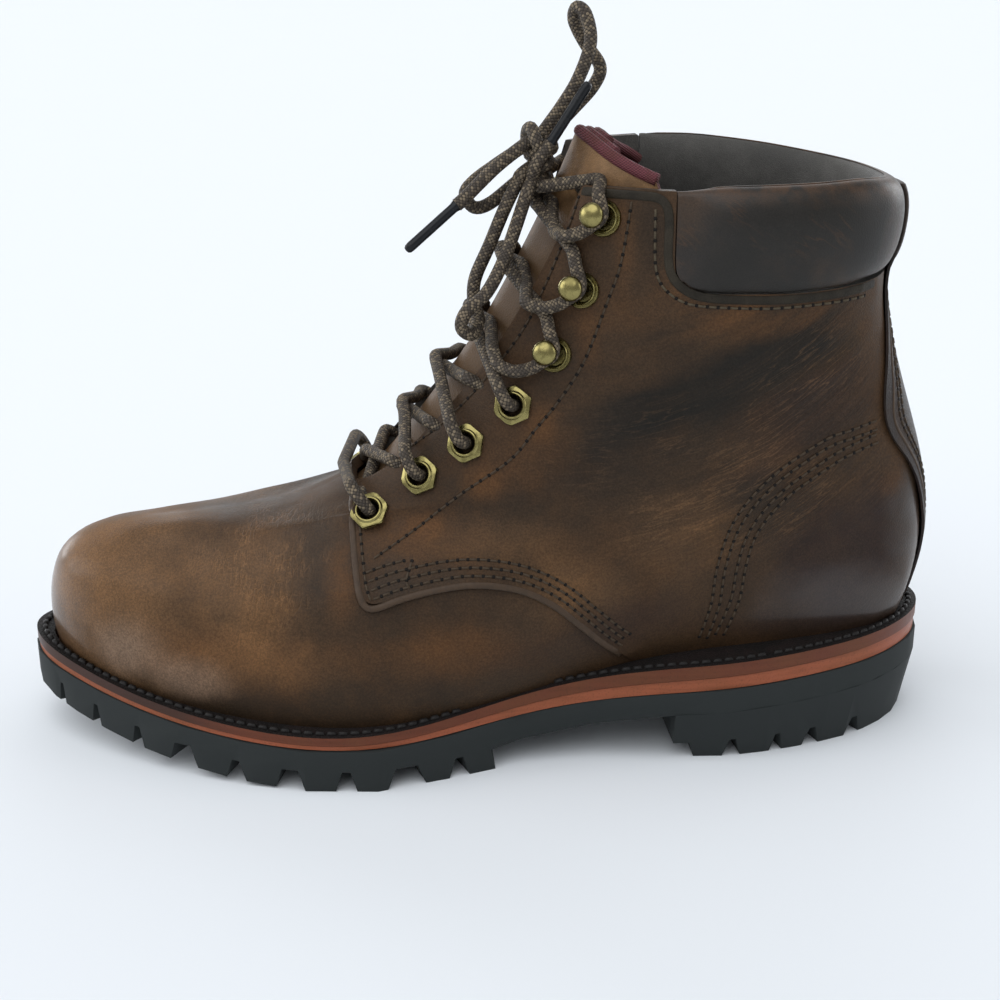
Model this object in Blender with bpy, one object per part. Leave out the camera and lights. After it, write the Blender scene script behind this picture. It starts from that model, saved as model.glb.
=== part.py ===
"""Left lace-up work boot with a lugged sole, plain toe, padded collar, eyelets and hooks.

Metres, Z up, toe toward -X, outer side of the foot toward -Y, standing on Z = 0.
"""
import math
from collections import namedtuple

import bmesh
import bpy
import numpy as np
from mathutils import Matrix, Vector

GAP = 0.0003
WALL = 0.0022
STEP = 0.0014
SIDE_POINTS = 21
END_CROWDING = 0.45
SHELL_ROWS = 20

LUG_DEPTH = 0.007
SPRING_START = -0.050
SPRING_RISE = 0.017
TOE_TIP = -0.1567
CROSS_GROOVES = (-0.112, -0.086, -0.060, -0.034, -0.008)
CROSS_REACH = 0.036
CROSS_TAPER = 0.24
CROSS_TAPER_START = -0.070
CROSS_FOOT = 0.003
CROSS_TOP = 0.002

HEEL_FRONT = 0.0610
HEEL_TAPER = 0.004
HEEL_LUG_DEPTH = 0.0068
HEEL_NOTCH_REACH = 0.018
HEEL_CUT_FRONT = 0.0500
HEEL_CUT_FOOT = 0.0715
HEEL_CUT_TOP = 0.0675
HEEL_CUT_HEIGHT = 0.0056
INSOLE_THICKNESS = 0.0045
INSOLE_INSET = 0.0032

COLLAR_FRONT = 0.057
COLLAR_CORNER = 0.009
COLLAR_STATIONS = 27
FACING_TOP = 0.190

TONGUE_THICKNESS = 0.0034
BACKSTAY_THICKNESS = 0.0016

SEAT_REACH = 0.0064
EYELET_HOLE = 0.0031
EYELET_BARREL = 0.0037
EYELET_FLAT = 0.0054
EYELET_HEIGHT = 0.0017
HOOK_BASE = 0.0050
HOOK_HEAD = 0.0041
HOOK_NECK = 0.0037
HOOK_REACH = 0.0050
BAR_RISE = 0.0066
SHOULDER_RISE = 0.0030
CREST_RISE = 0.006
LACE = 0.0042

Ring = namedtuple("Ring", "front_x front_z tip back_x back_z wide_lat wide_med half_lat half_med "
                          "nose_lat nose_med tail heel_lat heel_med waist_lat waist_med on_sole")

# Closed rings of the upper, from the feather line at the sole to above the tongue.
RINGS = [
    Ring(-0.1492, 0.0335, 0.0105, 0.1445, 0.0360, -0.042, -0.064, 0.0485, 0.0475,
         1.80, 1.95, 4.2, 0.67, 0.68, 0.06, 0.15, 1.0),
    Ring(-0.1510, 0.0465, 0.0100, 0.1490, 0.0500, -0.041, -0.062, 0.0504, 0.0494,
         1.84, 1.98, 4.1, 0.68, 0.69, 0.05, 0.13, 0.85),
    Ring(-0.1488, 0.0580, 0.0095, 0.1512, 0.0640, -0.038, -0.058, 0.0474, 0.0466,
         1.92, 2.02, 4.0, 0.75, 0.76, 0.03, 0.09, 0.55),
    Ring(-0.1440, 0.0672, 0.0085, 0.1508, 0.0780, -0.036, -0.052, 0.0402, 0.0398,
         2.20, 2.25, 3.9, 0.89, 0.89, 0.00, 0.03, 0.25),
    Ring(-0.1290, 0.0742, 0.0070, 0.1480, 0.0920, 0.066, 0.058, 0.0374, 0.0372,
         1.90, 1.92, 3.8, 0.95, 0.95, 0.00, 0.00, 0.05),
    Ring(-0.1070, 0.0764, 0.0045, 0.1440, 0.1060, 0.076, 0.070, 0.0369, 0.0367,
         1.80, 1.80, 3.5, 0.97, 0.97, 0.0, 0.0, 0.0),
    Ring(-0.0700, 0.0800, 0.0025, 0.1400, 0.1180, 0.078, 0.074, 0.0366, 0.0364,
         2.20, 2.20, 3.2, 1.0, 1.0, 0.0, 0.0, 0.0),
    Ring(-0.0450, 0.0895, 0.0015, 0.1365, 0.1290, 0.080, 0.078, 0.0366, 0.0364,
         2.40, 2.40, 3.0, 1.0, 1.0, 0.0, 0.0, 0.0),
    Ring(-0.0240, 0.1110, 0.0008, 0.1335, 0.1390, 0.082, 0.082, 0.0370, 0.0368,
         2.35, 2.35, 2.8, 1.0, 1.0, 0.0, 0.0, 0.0),
    Ring(-0.0065, 0.1330, 0.0, 0.1312, 0.1490, 0.083, 0.083, 0.0375, 0.0373,
         2.25, 2.25, 2.7, 1.0, 1.0, 0.0, 0.0, 0.0),
    Ring(0.0055, 0.1530, 0.0, 0.1303, 0.1580, 0.084, 0.084, 0.0380, 0.0380,
         2.20, 2.20, 2.6, 1.0, 1.0, 0.0, 0.0, 0.0),
    Ring(0.0145, 0.1710, 0.0, 0.1315, 0.1700, 0.085, 0.085, 0.0386, 0.0388,
         2.15, 2.15, 2.5, 1.0, 1.0, 0.0, 0.0, 0.0),
    Ring(0.0225, 0.1870, 0.0, 0.1330, 0.1830, 0.086, 0.086, 0.0392, 0.0398,
         2.15, 2.15, 2.5, 1.0, 1.0, 0.0, 0.0, 0.0),
    Ring(0.0275, 0.1980, 0.0, 0.1340, 0.1960, 0.087, 0.087, 0.0396, 0.0405,
         2.15, 2.15, 2.5, 1.0, 1.0, 0.0, 0.0, 0.0),
    Ring(0.0315, 0.2090, 0.0, 0.1345, 0.2090, 0.088, 0.088, 0.0400, 0.0410,
         2.15, 2.15, 2.5, 1.0, 1.0, 0.0, 0.0, 0.0),
]

EdgePoint = namedtuple("EdgePoint", "x y")

# Edge of the sole from the toe back along the outer side, then forward along the inner side.
SOLE_OUTER = [
    EdgePoint(-0.1567, 0.0110), EdgePoint(-0.1505, -0.0040), EdgePoint(-0.1360, -0.0175),
    EdgePoint(-0.1120, -0.0340), EdgePoint(-0.0800, -0.0488), EdgePoint(-0.0440, -0.0565),
    EdgePoint(-0.0160, -0.0500), EdgePoint(0.0080, -0.0418), EdgePoint(0.0360, -0.0402),
    EdgePoint(0.0720, -0.0460), EdgePoint(0.1010, -0.0425), EdgePoint(0.1290, -0.0330),
    EdgePoint(0.1495, -0.0165),
]
SOLE_INNER = [
    EdgePoint(0.1568, 0.0015), EdgePoint(0.1500, 0.0190), EdgePoint(0.1290, 0.0335),
    EdgePoint(0.0920, 0.0380), EdgePoint(0.0480, 0.0345), EdgePoint(0.0160, 0.0358),
    EdgePoint(-0.0180, 0.0445), EdgePoint(-0.0480, 0.0535), EdgePoint(-0.0800, 0.0565),
    EdgePoint(-0.1120, 0.0520), EdgePoint(-0.1380, 0.0405), EdgePoint(-0.1520, 0.0255),
]

Station = namedtuple("Station", "x rubber midsole welt underside")

# Heights of the sole layers along the boot.
STATIONS = [
    Station(-0.157, 0.0285, 0.0310, 0.0350, 0.0),
    Station(-0.125, 0.0215, 0.0235, 0.0269, 0.0),
    Station(-0.095, 0.0168, 0.0186, 0.0218, 0.0),
    Station(-0.062, 0.0143, 0.0159, 0.0190, 0.0),
    Station(-0.035, 0.0143, 0.0161, 0.0194, 0.0),
    Station(-0.005, 0.0163, 0.0190, 0.0228, 0.0070),
    Station(0.020, 0.0198, 0.0236, 0.0280, 0.0108),
    Station(0.045, 0.0234, 0.0278, 0.0326, 0.0150),
    Station(0.062, 0.0254, 0.0300, 0.0350, 0.0174),
    Station(0.110, 0.0284, 0.0332, 0.0380, 0.0198),
    Station(0.157, 0.0304, 0.0352, 0.0398, 0.0216),
]

Notch = namedtuple("Notch", "x floor roof")

# Gaps between the lugs along the edge of the forefoot and of the heel.
FOREFOOT_NOTCHES = [
    Notch(-0.1455, 0.0030, 0.0014), Notch(-0.1330, 0.0040, 0.0018), Notch(-0.1180, 0.0050, 0.0020),
    Notch(-0.1025, 0.0105, 0.0060), Notch(-0.0837, 0.0072, 0.0026), Notch(-0.0657, 0.0100, 0.0056),
    Notch(-0.0477, 0.0070, 0.0026), Notch(-0.0277, 0.0130, 0.0076), Notch(-0.0107, 0.0072, 0.0026),
]
HEEL_NOTCHES = [
    Notch(0.0828, 0.0064, 0.0022), Notch(0.0986, 0.0046, 0.0018),
    Notch(0.1125, 0.0064, 0.0022), Notch(0.1285, 0.0070, 0.0026),
]

SeamPoint = namedtuple("SeamPoint", "x z")

# Front edge of the quarters seen from the side.
QUARTER_EDGE = [
    SeamPoint(-0.0440, 0.1200), SeamPoint(-0.0440, 0.0920), SeamPoint(-0.0436, 0.0800),
    SeamPoint(-0.0424, 0.0690), SeamPoint(-0.0410, 0.0645), SeamPoint(-0.0380, 0.0632),
    SeamPoint(-0.0290, 0.0660), SeamPoint(-0.0165, 0.0682), SeamPoint(-0.0040, 0.0688),
    SeamPoint(0.0085, 0.0660), SeamPoint(0.0187, 0.0605), SeamPoint(0.0270, 0.0528),
    SeamPoint(0.0350, 0.0450), SeamPoint(0.0430, 0.0385), SeamPoint(0.0520, 0.0300),
]

Slot = namedtuple("Slot", "along half")

# Opening between the facings, measured up the throat from its lower end.
THROAT_FOOT = (-0.0455, 0.0925)
THROAT_HEAD = (0.0250, 0.1920)
THROAT_SLOT = [
    Slot(0.000, 0.0060), Slot(0.002, 0.0110), Slot(0.006, 0.0140), Slot(0.020, 0.0165),
    Slot(0.060, 0.0190), Slot(0.100, 0.0205), Slot(0.150, 0.0215),
]

Hold = namedtuple("Hold", "x z")
EYELETS = [Hold(-0.0376, 0.0850), Hold(-0.0207, 0.0968), Hold(-0.0060, 0.1085), Hold(0.0089, 0.1216)]
HOOKS = [Hold(0.0212, 0.1385), Hold(0.0297, 0.1587), Hold(0.0362, 0.1808)]

CollarLine = namedtuple("CollarLine", "x seam rim_lat rim_med")

# Lower seam and upper edge of the padded collar.
COLLAR_LINE = [
    CollarLine(0.045, 0.1600, 0.1915, 0.1990), CollarLine(0.066, 0.1588, 0.1912, 0.1990),
    CollarLine(0.095, 0.1585, 0.1918, 0.1955), CollarLine(0.115, 0.1598, 0.1925, 0.1925),
    CollarLine(0.137, 0.1620, 0.1898, 0.1898),
]

CordPoint = namedtuple("CordPoint", "x y z")

# Middle line of the bow's loops and ends, and the place and half sizes of its knot.
KNOT = CordPoint(0.0185, -0.0040, 0.1950)
KNOT_HALF = CordPoint(0.0046, 0.0060, 0.0078)
LOOP_UP = [
    CordPoint(0.0193, -0.0045, 0.2034), CordPoint(0.0259, -0.0045, 0.2124),
    CordPoint(0.0309, -0.0045, 0.2207), CordPoint(0.0345, -0.0035, 0.2310),
    CordPoint(0.0334, -0.0010, 0.2391), CordPoint(0.0308, 0.0020, 0.2414),
    CordPoint(0.0303, 0.0042, 0.2374), CordPoint(0.0340, 0.0058, 0.2305),
    CordPoint(0.0390, 0.0060, 0.2233), CordPoint(0.0372, 0.0060, 0.2175),
    CordPoint(0.0310, 0.0055, 0.2106), CordPoint(0.0229, 0.0032, 0.2030),
]
LOOP_LEFT = [
    CordPoint(0.0134, -0.0002, 0.1988), CordPoint(0.0050, -0.0025, 0.1938),
    CordPoint(-0.0022, -0.0042, 0.1889), CordPoint(-0.0050, -0.0050, 0.1850),
    CordPoint(-0.0022, -0.0044, 0.1808), CordPoint(0.0030, -0.0035, 0.1818),
    CordPoint(0.0115, -0.0015, 0.1880),
]
END_LEFT = [
    CordPoint(0.0141, -0.0078, 0.2010), CordPoint(0.0048, -0.0109, 0.1946),
    CordPoint(-0.0055, -0.0135, 0.1853), CordPoint(-0.0150, -0.0160, 0.1776),
    CordPoint(-0.0244, -0.0185, 0.1698),
]
END_UP = [
    CordPoint(0.0152, -0.0123, 0.1942), CordPoint(0.0205, -0.0126, 0.2005),
    CordPoint(0.0273, -0.0120, 0.2107), CordPoint(0.0333, -0.0115, 0.2199),
]
LOOP_DOWN = [
    CordPoint(0.0116, -0.0112, 0.1906), CordPoint(0.0066, -0.0135, 0.1810),
    CordPoint(0.0020, -0.0148, 0.1705), CordPoint(-0.0025, -0.0156, 0.1605),
    CordPoint(-0.0032, -0.0164, 0.1534), CordPoint(-0.0018, -0.0186, 0.1472),
    CordPoint(-0.0043, -0.0229, 0.1437), CordPoint(-0.0077, -0.0244, 0.1466),
    CordPoint(-0.0058, -0.0244, 0.1518), CordPoint(0.0003, -0.0234, 0.1570),
    CordPoint(0.0056, -0.0212, 0.1660), CordPoint(0.0096, -0.0195, 0.1762),
    CordPoint(0.0134, -0.0158, 0.1860),
]

PadPoint = namedtuple("PadPoint", "rise outset")
COLLAR_SECTION = [
    PadPoint(0.00, 0.0010), PadPoint(0.10, 0.0034), PadPoint(0.34, 0.0050), PadPoint(0.68, 0.0048),
    PadPoint(0.90, 0.0026), PadPoint(1.00, -0.0012), PadPoint(0.99, -0.0052), PadPoint(0.84, -0.0082),
    PadPoint(0.50, -0.0090), PadPoint(0.20, -0.0070), PadPoint(0.02, -0.0030),
]

Strip = namedtuple("Strip", "z half")
BACKSTAY = [
    Strip(0.0410, 0.0085), Strip(0.0580, 0.0105), Strip(0.0750, 0.0150), Strip(0.0850, 0.0200),
    Strip(0.0970, 0.0255), Strip(0.1080, 0.0295), Strip(0.1150, 0.0305), Strip(0.1240, 0.0275),
    Strip(0.1340, 0.0240), Strip(0.1500, 0.0165), Strip(0.1600, 0.0150),
]

TongueRow = namedtuple("TongueRow", "z half")
TONGUE = [
    TongueRow(0.0860, 0.0200), TongueRow(0.0920, 0.0230), TongueRow(0.1000, 0.0255),
    TongueRow(0.1120, 0.0280), TongueRow(0.1280, 0.0300), TongueRow(0.1450, 0.0320),
    TongueRow(0.1620, 0.0335), TongueRow(0.1780, 0.0345), TongueRow(0.1920, 0.0350),
    TongueRow(0.2040, 0.0330),
]


def smooth(t):
    t = np.clip(t, 0.0, 1.0)
    return t * t * (3 - 2 * t)


def spread(count):
    """Fractions from 0 to 1, closer together at both ends."""
    f = np.linspace(0, 1, count + 1)
    return f - END_CROWDING * np.sin(2 * math.pi * f) / (2 * math.pi)


def station_height(column, x):
    xs = [s.x for s in STATIONS]
    heights = [getattr(s, column) for s in STATIONS]
    return np.interp(x, xs, heights)


def tread_height(x):
    return SPRING_RISE * np.clip((SPRING_START - x) / (SPRING_START - TOE_TIP), 0, None) ** 2


def side_curve(ring, lateral):
    """Dense front-to-back points of one side of a ring of the upper."""
    sign = -1 if lateral else 1
    wide = ring.wide_lat if lateral else ring.wide_med
    half = ring.half_lat if lateral else ring.half_med
    nose = ring.nose_lat if lateral else ring.nose_med
    heel = ring.heel_lat if lateral else ring.heel_med
    waist = ring.waist_lat if lateral else ring.waist_med
    a = np.linspace(0, math.pi / 2, 240)
    ahead = np.cos(a) ** (2 / nose)
    front_x = wide - (wide - ring.front_x) * ahead
    front_y = sign * half * np.sin(a) ** (2 / nose) + ring.tip * ahead
    b = a[::-1][1:]
    t = np.cos(b) ** (2 / ring.tail)
    back_x = wide + (ring.back_x - wide) * t
    back_y = half * np.sin(b) ** (2 / ring.tail)
    back_y = back_y * (1 - (1 - heel) * smooth(t / 0.62))
    back_y = back_y * (1 - waist * np.sin(math.pi * np.clip(t / 0.8, 0, 1)) ** 2)
    return np.concatenate([front_x, back_x]), np.concatenate([front_y, sign * back_y])


def curve_through(points, steps, closed=False):
    """Smooth path through a few points."""
    points = np.array(points)
    if closed:
        ends = np.concatenate([points[-1:], points, points[:2]])
    else:
        ends = np.concatenate([[2 * points[0] - points[1]], points, [2 * points[-1] - points[-2]]])
    path = []
    for i in range(1, len(ends) - 2):
        a, b, c, d = ends[i - 1:i + 3]
        for t in np.linspace(0, 1, steps, endpoint=False):
            path.append(b + 0.5 * t * (c - a + t * (2 * a - 5 * b + 4 * c - d + t * (3 * (b - c) + d - a))))
    if not closed:
        path.append(points[-1])
    return np.array(path)


def sole_curve(lateral):
    """Dense front-to-back points of one edge of the sole."""
    steps = 24
    path = curve_through([(p.x, p.y) for p in SOLE_OUTER + SOLE_INNER], steps, closed=True)
    back = steps * len(SOLE_OUTER)
    side = path[:back + 1] if lateral else np.concatenate([path[back:], path[:1]])[::-1]
    return side[:, 0], side[:, 1]


def spaced(sides, fractions):
    """Points round an outline: outer side front to back, then inner side back to front."""
    found = []
    for x, y in sides:
        run = np.concatenate([[0], np.cumsum(np.hypot(np.diff(x), np.diff(y)))])
        at = fractions * run[-1]
        found.append(np.stack([np.interp(at, run, x), np.interp(at, run, y)], axis=1))
    outer, inner = found
    return np.concatenate([outer, inner[::-1][1:-1]])


def ring_points(ring, fractions):
    return spaced([side_curve(ring, True), side_curve(ring, False)], fractions)


def sole_points(fractions):
    return spaced([sole_curve(True), sole_curve(False)], fractions)


def ring_at(level):
    """Ring between the table rows, on a smooth curve through them."""
    last = len(RINGS) - 1
    i = int(min(max(math.floor(level), 0), last - 1))
    t = level - i
    rows = [np.array(RINGS[min(max(k, 0), last)]) for k in (i - 1, i, i + 1, i + 2)]
    if i == 0:
        rows[0] = 2 * rows[1] - rows[2]
    if i + 2 > last:
        rows[3] = 2 * rows[2] - rows[1]
    a, b, c, d = rows
    value = b + 0.5 * t * (c - a + t * (2 * a - 5 * b + 4 * c - d + t * (3 * (b - c) + d - a)))
    return Ring(*value)


def upper_grid(levels, fractions):
    """Grid of points on the outside of the upper, one row for each level."""
    rows = []
    for level in levels:
        ring = ring_at(level)
        xy = ring_points(ring, fractions)
        share = (xy[:, 0] - ring.front_x) / (ring.back_x - ring.front_x)
        level_z = ring.front_z + (ring.back_z - ring.front_z) * share
        base_z = station_height("midsole", xy[:, 0]) + GAP
        floor = ring_at(0)
        floor_z = floor.front_z + (floor.back_z - floor.front_z) * share
        follow_z = level_z + base_z - floor_z
        z = level_z + (follow_z - level_z) * np.clip(ring.on_sole, 0, 1)
        rows.append(np.column_stack([xy, z]))
    return np.array(rows)


def grid_normals(grid):
    along = np.roll(grid, -1, axis=1) - np.roll(grid, 1, axis=1)
    up = np.gradient(grid, axis=0)
    normal = np.cross(along, up)
    normal /= np.linalg.norm(normal, axis=2, keepdims=True)
    outward = grid[:, :, 1:2] * normal[:, :, 1:2]
    if outward.sum() < 0:
        normal = -normal
    normal[0, :, 2] = 0
    normal /= np.linalg.norm(normal, axis=2, keepdims=True)
    return normal


DENSE_LEVELS = np.linspace(0, len(RINGS) - 1, 6 * (len(RINGS) - 1) + 1)
DENSE_FRACTIONS = np.linspace(0, 1, 97)
DENSE = upper_grid(DENSE_LEVELS, DENSE_FRACTIONS)
DENSE_NORMALS = grid_normals(DENSE)


def form_point(turn, z, outset=0.0):
    """Point of the upper's outside at a turn (0 toe, 0.5 heel, 1 toe) and a height."""
    count = DENSE.shape[1]
    place = (turn % 1.0) * count
    j = int(place) % count
    f = place - int(place)
    k = (j + 1) % count
    column = DENSE[:, j] * (1 - f) + DENSE[:, k] * f
    normals = DENSE_NORMALS[:, j] * (1 - f) + DENSE_NORMALS[:, k] * f
    point = np.array([np.interp(z, column[:, 2], column[:, a]) for a in range(3)])
    normal = np.array([np.interp(z, column[:, 2], normals[:, a]) for a in range(3)])
    normal /= np.linalg.norm(normal)
    return point + outset * normal, normal


def turn_at_x(x, z, lateral=True):
    """Turn at which the upper's side passes a place seen from the side."""
    turns = np.linspace(0.0, 0.5, 120) if lateral else np.linspace(1.0, 0.5, 120)
    xs = [form_point(turn, z)[0][0] for turn in turns]
    return float(np.interp(x, xs, turns))


def turn_at_y(y, z, front=True):
    """Turn at which the upper passes a sideways place, at its front or at its back."""
    if front:
        turns = np.linspace(0.25, -0.25, 120)
    else:
        turns = np.linspace(0.35, 0.65, 120)
    ys = [form_point(turn, z)[0][1] for turn in turns]
    return float(np.interp(y, ys, turns))


def material(name, colour, roughness, metallic=0.0):
    found = bpy.data.materials.new(name)
    found.use_nodes = True
    shader = found.node_tree.nodes["Principled BSDF"]
    shader.inputs["Base Color"].default_value = (*colour, 1)
    shader.inputs["Roughness"].default_value = roughness
    shader.inputs["Metallic"].default_value = metallic
    found.diffuse_color = (*colour, 1)
    return found


def solid(name, points, faces, finish=None, parent=None, split=False):
    """Closed mesh object with its faces turned outward; bent quads may be split along the shorter way."""
    mesh = bpy.data.meshes.new(name)
    mesh.from_pydata([tuple(p) for p in points], [], faces)
    bm = bmesh.new()
    bm.from_mesh(mesh)
    if split:
        bmesh.ops.triangulate(bm, faces=bm.faces, quad_method="SHORT_EDGE")
    bmesh.ops.recalc_face_normals(bm, faces=bm.faces)
    if bm.calc_volume(signed=True) < 0:
        bmesh.ops.reverse_faces(bm, faces=bm.faces)
    bm.to_mesh(mesh)
    bm.free()
    item = bpy.data.objects.new(name, mesh)
    bpy.context.scene.collection.objects.link(item)
    if finish:
        mesh.materials.append(finish)
    item.parent = parent
    return item


def strip_faces(rows, columns, closed_columns=True, closed_rows=False):
    faces = []
    for i in range(rows if closed_rows else rows - 1):
        for j in range(columns if closed_columns else columns - 1):
            a = i * columns + j
            b = i * columns + (j + 1) % columns
            c = ((i + 1) % rows) * columns + (j + 1) % columns
            d = ((i + 1) % rows) * columns + j
            faces.append((a, b, c, d))
    return faces


def loop_solid(name, grid, finish=None, parent=None):
    """Solid from closed cross sections in a row, with both ends filled."""
    rows, columns = grid.shape[:2]
    faces = strip_faces(rows, columns)
    faces.append(tuple(range(columns)))
    faces.append(tuple(range((rows - 1) * columns, rows * columns)))
    return solid(name, grid.reshape(-1, 3), faces, finish, parent)


def ring_solid(name, grid, finish=None, parent=None):
    """Solid ring from closed cross sections that return to the first one."""
    rows, columns = grid.shape[:2]
    return solid(name, grid.reshape(-1, 3), strip_faces(rows, columns, True, True), finish, parent)


def shell_solid(name, outer, inner, finish=None, parent=None):
    """Open-ended tube wall between an outer and an inner grid."""
    grid = np.concatenate([outer, inner[::-1]])
    rows, columns = grid.shape[:2]
    return solid(name, grid.reshape(-1, 3), strip_faces(rows, columns, True, True), finish, parent, True)


def patch_solid(name, outer, inner, finish=None, parent=None):
    """Thick patch between two open grids of the same size."""
    rows, columns = outer.shape[:2]
    count = rows * columns
    faces = strip_faces(rows, columns, False)
    faces += [tuple(count + k for k in face[::-1]) for face in strip_faces(rows, columns, False)]
    rim = [j for j in range(columns)]
    rim += [i * columns + columns - 1 for i in range(1, rows)]
    rim += [(rows - 1) * columns + j for j in range(columns - 2, -1, -1)]
    rim += [i * columns for i in range(rows - 2, 0, -1)]
    for k, a in enumerate(rim):
        b = rim[(k + 1) % len(rim)]
        faces.append((b, a, count + a, count + b))
    points = np.concatenate([outer.reshape(-1, 3), inner.reshape(-1, 3)])
    return solid(name, points, faces, finish, parent)


def slab_solid(name, lower, upper, finish=None, parent=None, split=False):
    """Solid between two outlines whose sides run outer front to back, then inner back to front."""
    count = len(lower)
    half = count // 2
    points = np.concatenate([lower, upper])
    faces = [(j, (j + 1) % count, count + (j + 1) % count, count + j) for j in range(count)]
    for base in (0, count):
        for j in range(half):
            ring = [base + j, base + j + 1, base + (count - j - 1) % count, base + (count - j) % count]
            face = []
            for corner in ring:
                if corner not in face:
                    face.append(corner)
            faces.append(tuple(face))
    return solid(name, points, faces, finish, parent, split)


def prism(name, profile, y_from, y_to):
    """Cutting block: a side-view profile carried across the boot."""
    near = [(x, y_from, z) for x, z in profile]
    far = [(x, y_to, z) for x, z in profile]
    return loop_solid(name, np.array([near, far]))


def combine(target, tool, operation):
    tool.hide_render = True
    tool.display_type = "WIRE"
    step = target.modifiers.new(tool.name, "BOOLEAN")
    step.operation = operation
    step.solver = "EXACT"
    step.object = tool


def joined(name, items):
    """One cutter from several blocks that do not touch."""
    bm = bmesh.new()
    for item in items:
        bm.from_mesh(item.data)
        bpy.data.objects.remove(item)
    mesh = bpy.data.meshes.new(name)
    bm.to_mesh(mesh)
    bm.free()
    item = bpy.data.objects.new(name, mesh)
    bpy.context.scene.collection.objects.link(item)
    return item


def tube_grid(path, radius, sides):
    """Cross sections of a round bar along a path."""
    path = np.array(path)
    direction = np.gradient(path, axis=0)
    direction /= np.linalg.norm(direction, axis=1, keepdims=True)
    up = np.array([0.0, 0.0, 1.0])
    if abs(direction[0] @ up) > 0.9:
        up = np.array([1.0, 0.0, 0.0])
    across = np.cross(direction[0], up)
    across /= np.linalg.norm(across)
    rows = []
    for point, along in zip(path, direction):
        across = across - along * (across @ along)
        across /= np.linalg.norm(across)
        other = np.cross(along, across)
        turns = np.linspace(0, 2 * math.pi, sides, endpoint=False)
        rows.append([point + radius * (math.cos(a) * across + math.sin(a) * other) for a in turns])
    return np.array(rows)


def seam_height(x):
    """Height of the seam under the padded collar."""
    places = [s.x for s in COLLAR_LINE]
    return np.interp(x, places, [s.seam for s in COLLAR_LINE])


def rim_height(x, lateral):
    """Height of the collar's upper edge."""
    places = [s.x for s in COLLAR_LINE]
    return np.interp(x, places, [s.rim_lat if lateral else s.rim_med for s in COLLAR_LINE])


def collar_profile(clearance, front_top):
    """Side view of the space of the collar: its front edge, rounded corner and lower seam."""
    front = COLLAR_FRONT + clearance
    corner = COLLAR_CORNER
    foot = seam_height(front + corner) + clearance
    points = [(front, front_top), (front, foot + corner)]
    for a in np.linspace(0, math.pi / 2, 6)[1:-1]:
        points.append((front + corner * (1 - math.cos(a)), foot + corner * (1 - math.sin(a))))
    for x in np.linspace(front + corner, 0.170, 9):
        points.append((x, seam_height(x) + clearance))
    return points


def build_upper(finish, parent):
    top = len(RINGS) - 1
    levels = np.linspace(0, top, SHELL_ROWS)
    fractions = spread(SIDE_POINTS)
    outer = upper_grid(levels, fractions)
    normals = grid_normals(outer)
    upper = shell_solid("upper", outer, outer - WALL * normals, finish, parent)

    raised_levels = np.concatenate([[0.12, 0.72], levels[levels > 1.0][:-1], [top - 0.2]])
    grid = upper_grid(raised_levels, fractions)
    normals = grid_normals(grid)
    lift = np.full(len(raised_levels), STEP)
    lift[0] = -0.3 * WALL
    raised = grid + lift[:, None, None] * normals
    sunk = grid - 0.6 * WALL * normals
    quarters = shell_solid("quarters", raised, sunk)
    edge = [(p.x, p.z) for p in QUARTER_EDGE]
    low, high, back = -0.02, 0.26, 0.20
    around = [(edge[-1][0], low), (back, low), (back, high), (edge[0][0], high)]
    keep = prism("quarter_cut", edge + around, -0.1, 0.1)
    combine(quarters, keep, "INTERSECT")
    combine(upper, quarters, "UNION")

    combine(upper, throat_block(), "DIFFERENCE")
    notch = collar_profile(0.0, FACING_TOP)
    trim = prism("collar_cut", [(-0.05, FACING_TOP)] + notch + [(0.170, high), (-0.05, high)], -0.1, 0.1)
    combine(upper, trim, "DIFFERENCE")
    holes = []
    for lateral in (True, False):
        for hold in EYELETS:
            point, normal = hold_frame(hold, lateral)
            holes.append(hole_block(point, normal))
    combine(upper, joined("eyelet_holes", holes), "DIFFERENCE")
    return upper


def throat_frame():
    foot = np.array([THROAT_FOOT[0], 0, THROAT_FOOT[1]])
    head = np.array([THROAT_HEAD[0], 0, THROAT_HEAD[1]])
    along = (head - foot) / np.linalg.norm(head - foot)
    out = np.cross(np.array([0.0, 1.0, 0.0]), along)
    if out[2] < 0:
        out = -out
    return foot, along, out


def throat_block():
    foot, along, out = throat_frame()
    across = np.array([0.0, 1.0, 0.0])
    loop = [(s.along, -s.half) for s in THROAT_SLOT] + [(s.along, s.half) for s in THROAT_SLOT[::-1]]
    rows = []
    for depth in (-0.045, 0.040):
        rows.append([foot + a * along + h * across + depth * out for a, h in loop])
    return loop_solid("throat_cut", np.array(rows))


def hold_frame(hold, lateral):
    """Seat of an eyelet or hook: a flat place just clear of the curved leather, and its normal."""
    point, normal = form_point(turn_at_x(hold.x, hold.z, lateral), hold.z)
    near = np.linalg.norm(DENSE - point, axis=2) < SEAT_REACH
    normal = DENSE_NORMALS[near].mean(axis=0)
    normal /= np.linalg.norm(normal)
    leather = DENSE[near] + STEP * DENSE_NORMALS[near]
    return point + ((leather - point) @ normal).max() * normal, normal


def hole_block(point, normal):
    path = [point - 0.012 * normal, point + 0.012 * normal]
    return loop_solid("hole", tube_grid(path, (EYELET_BARREL + GAP) / math.cos(math.pi / 8), 8))


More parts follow.
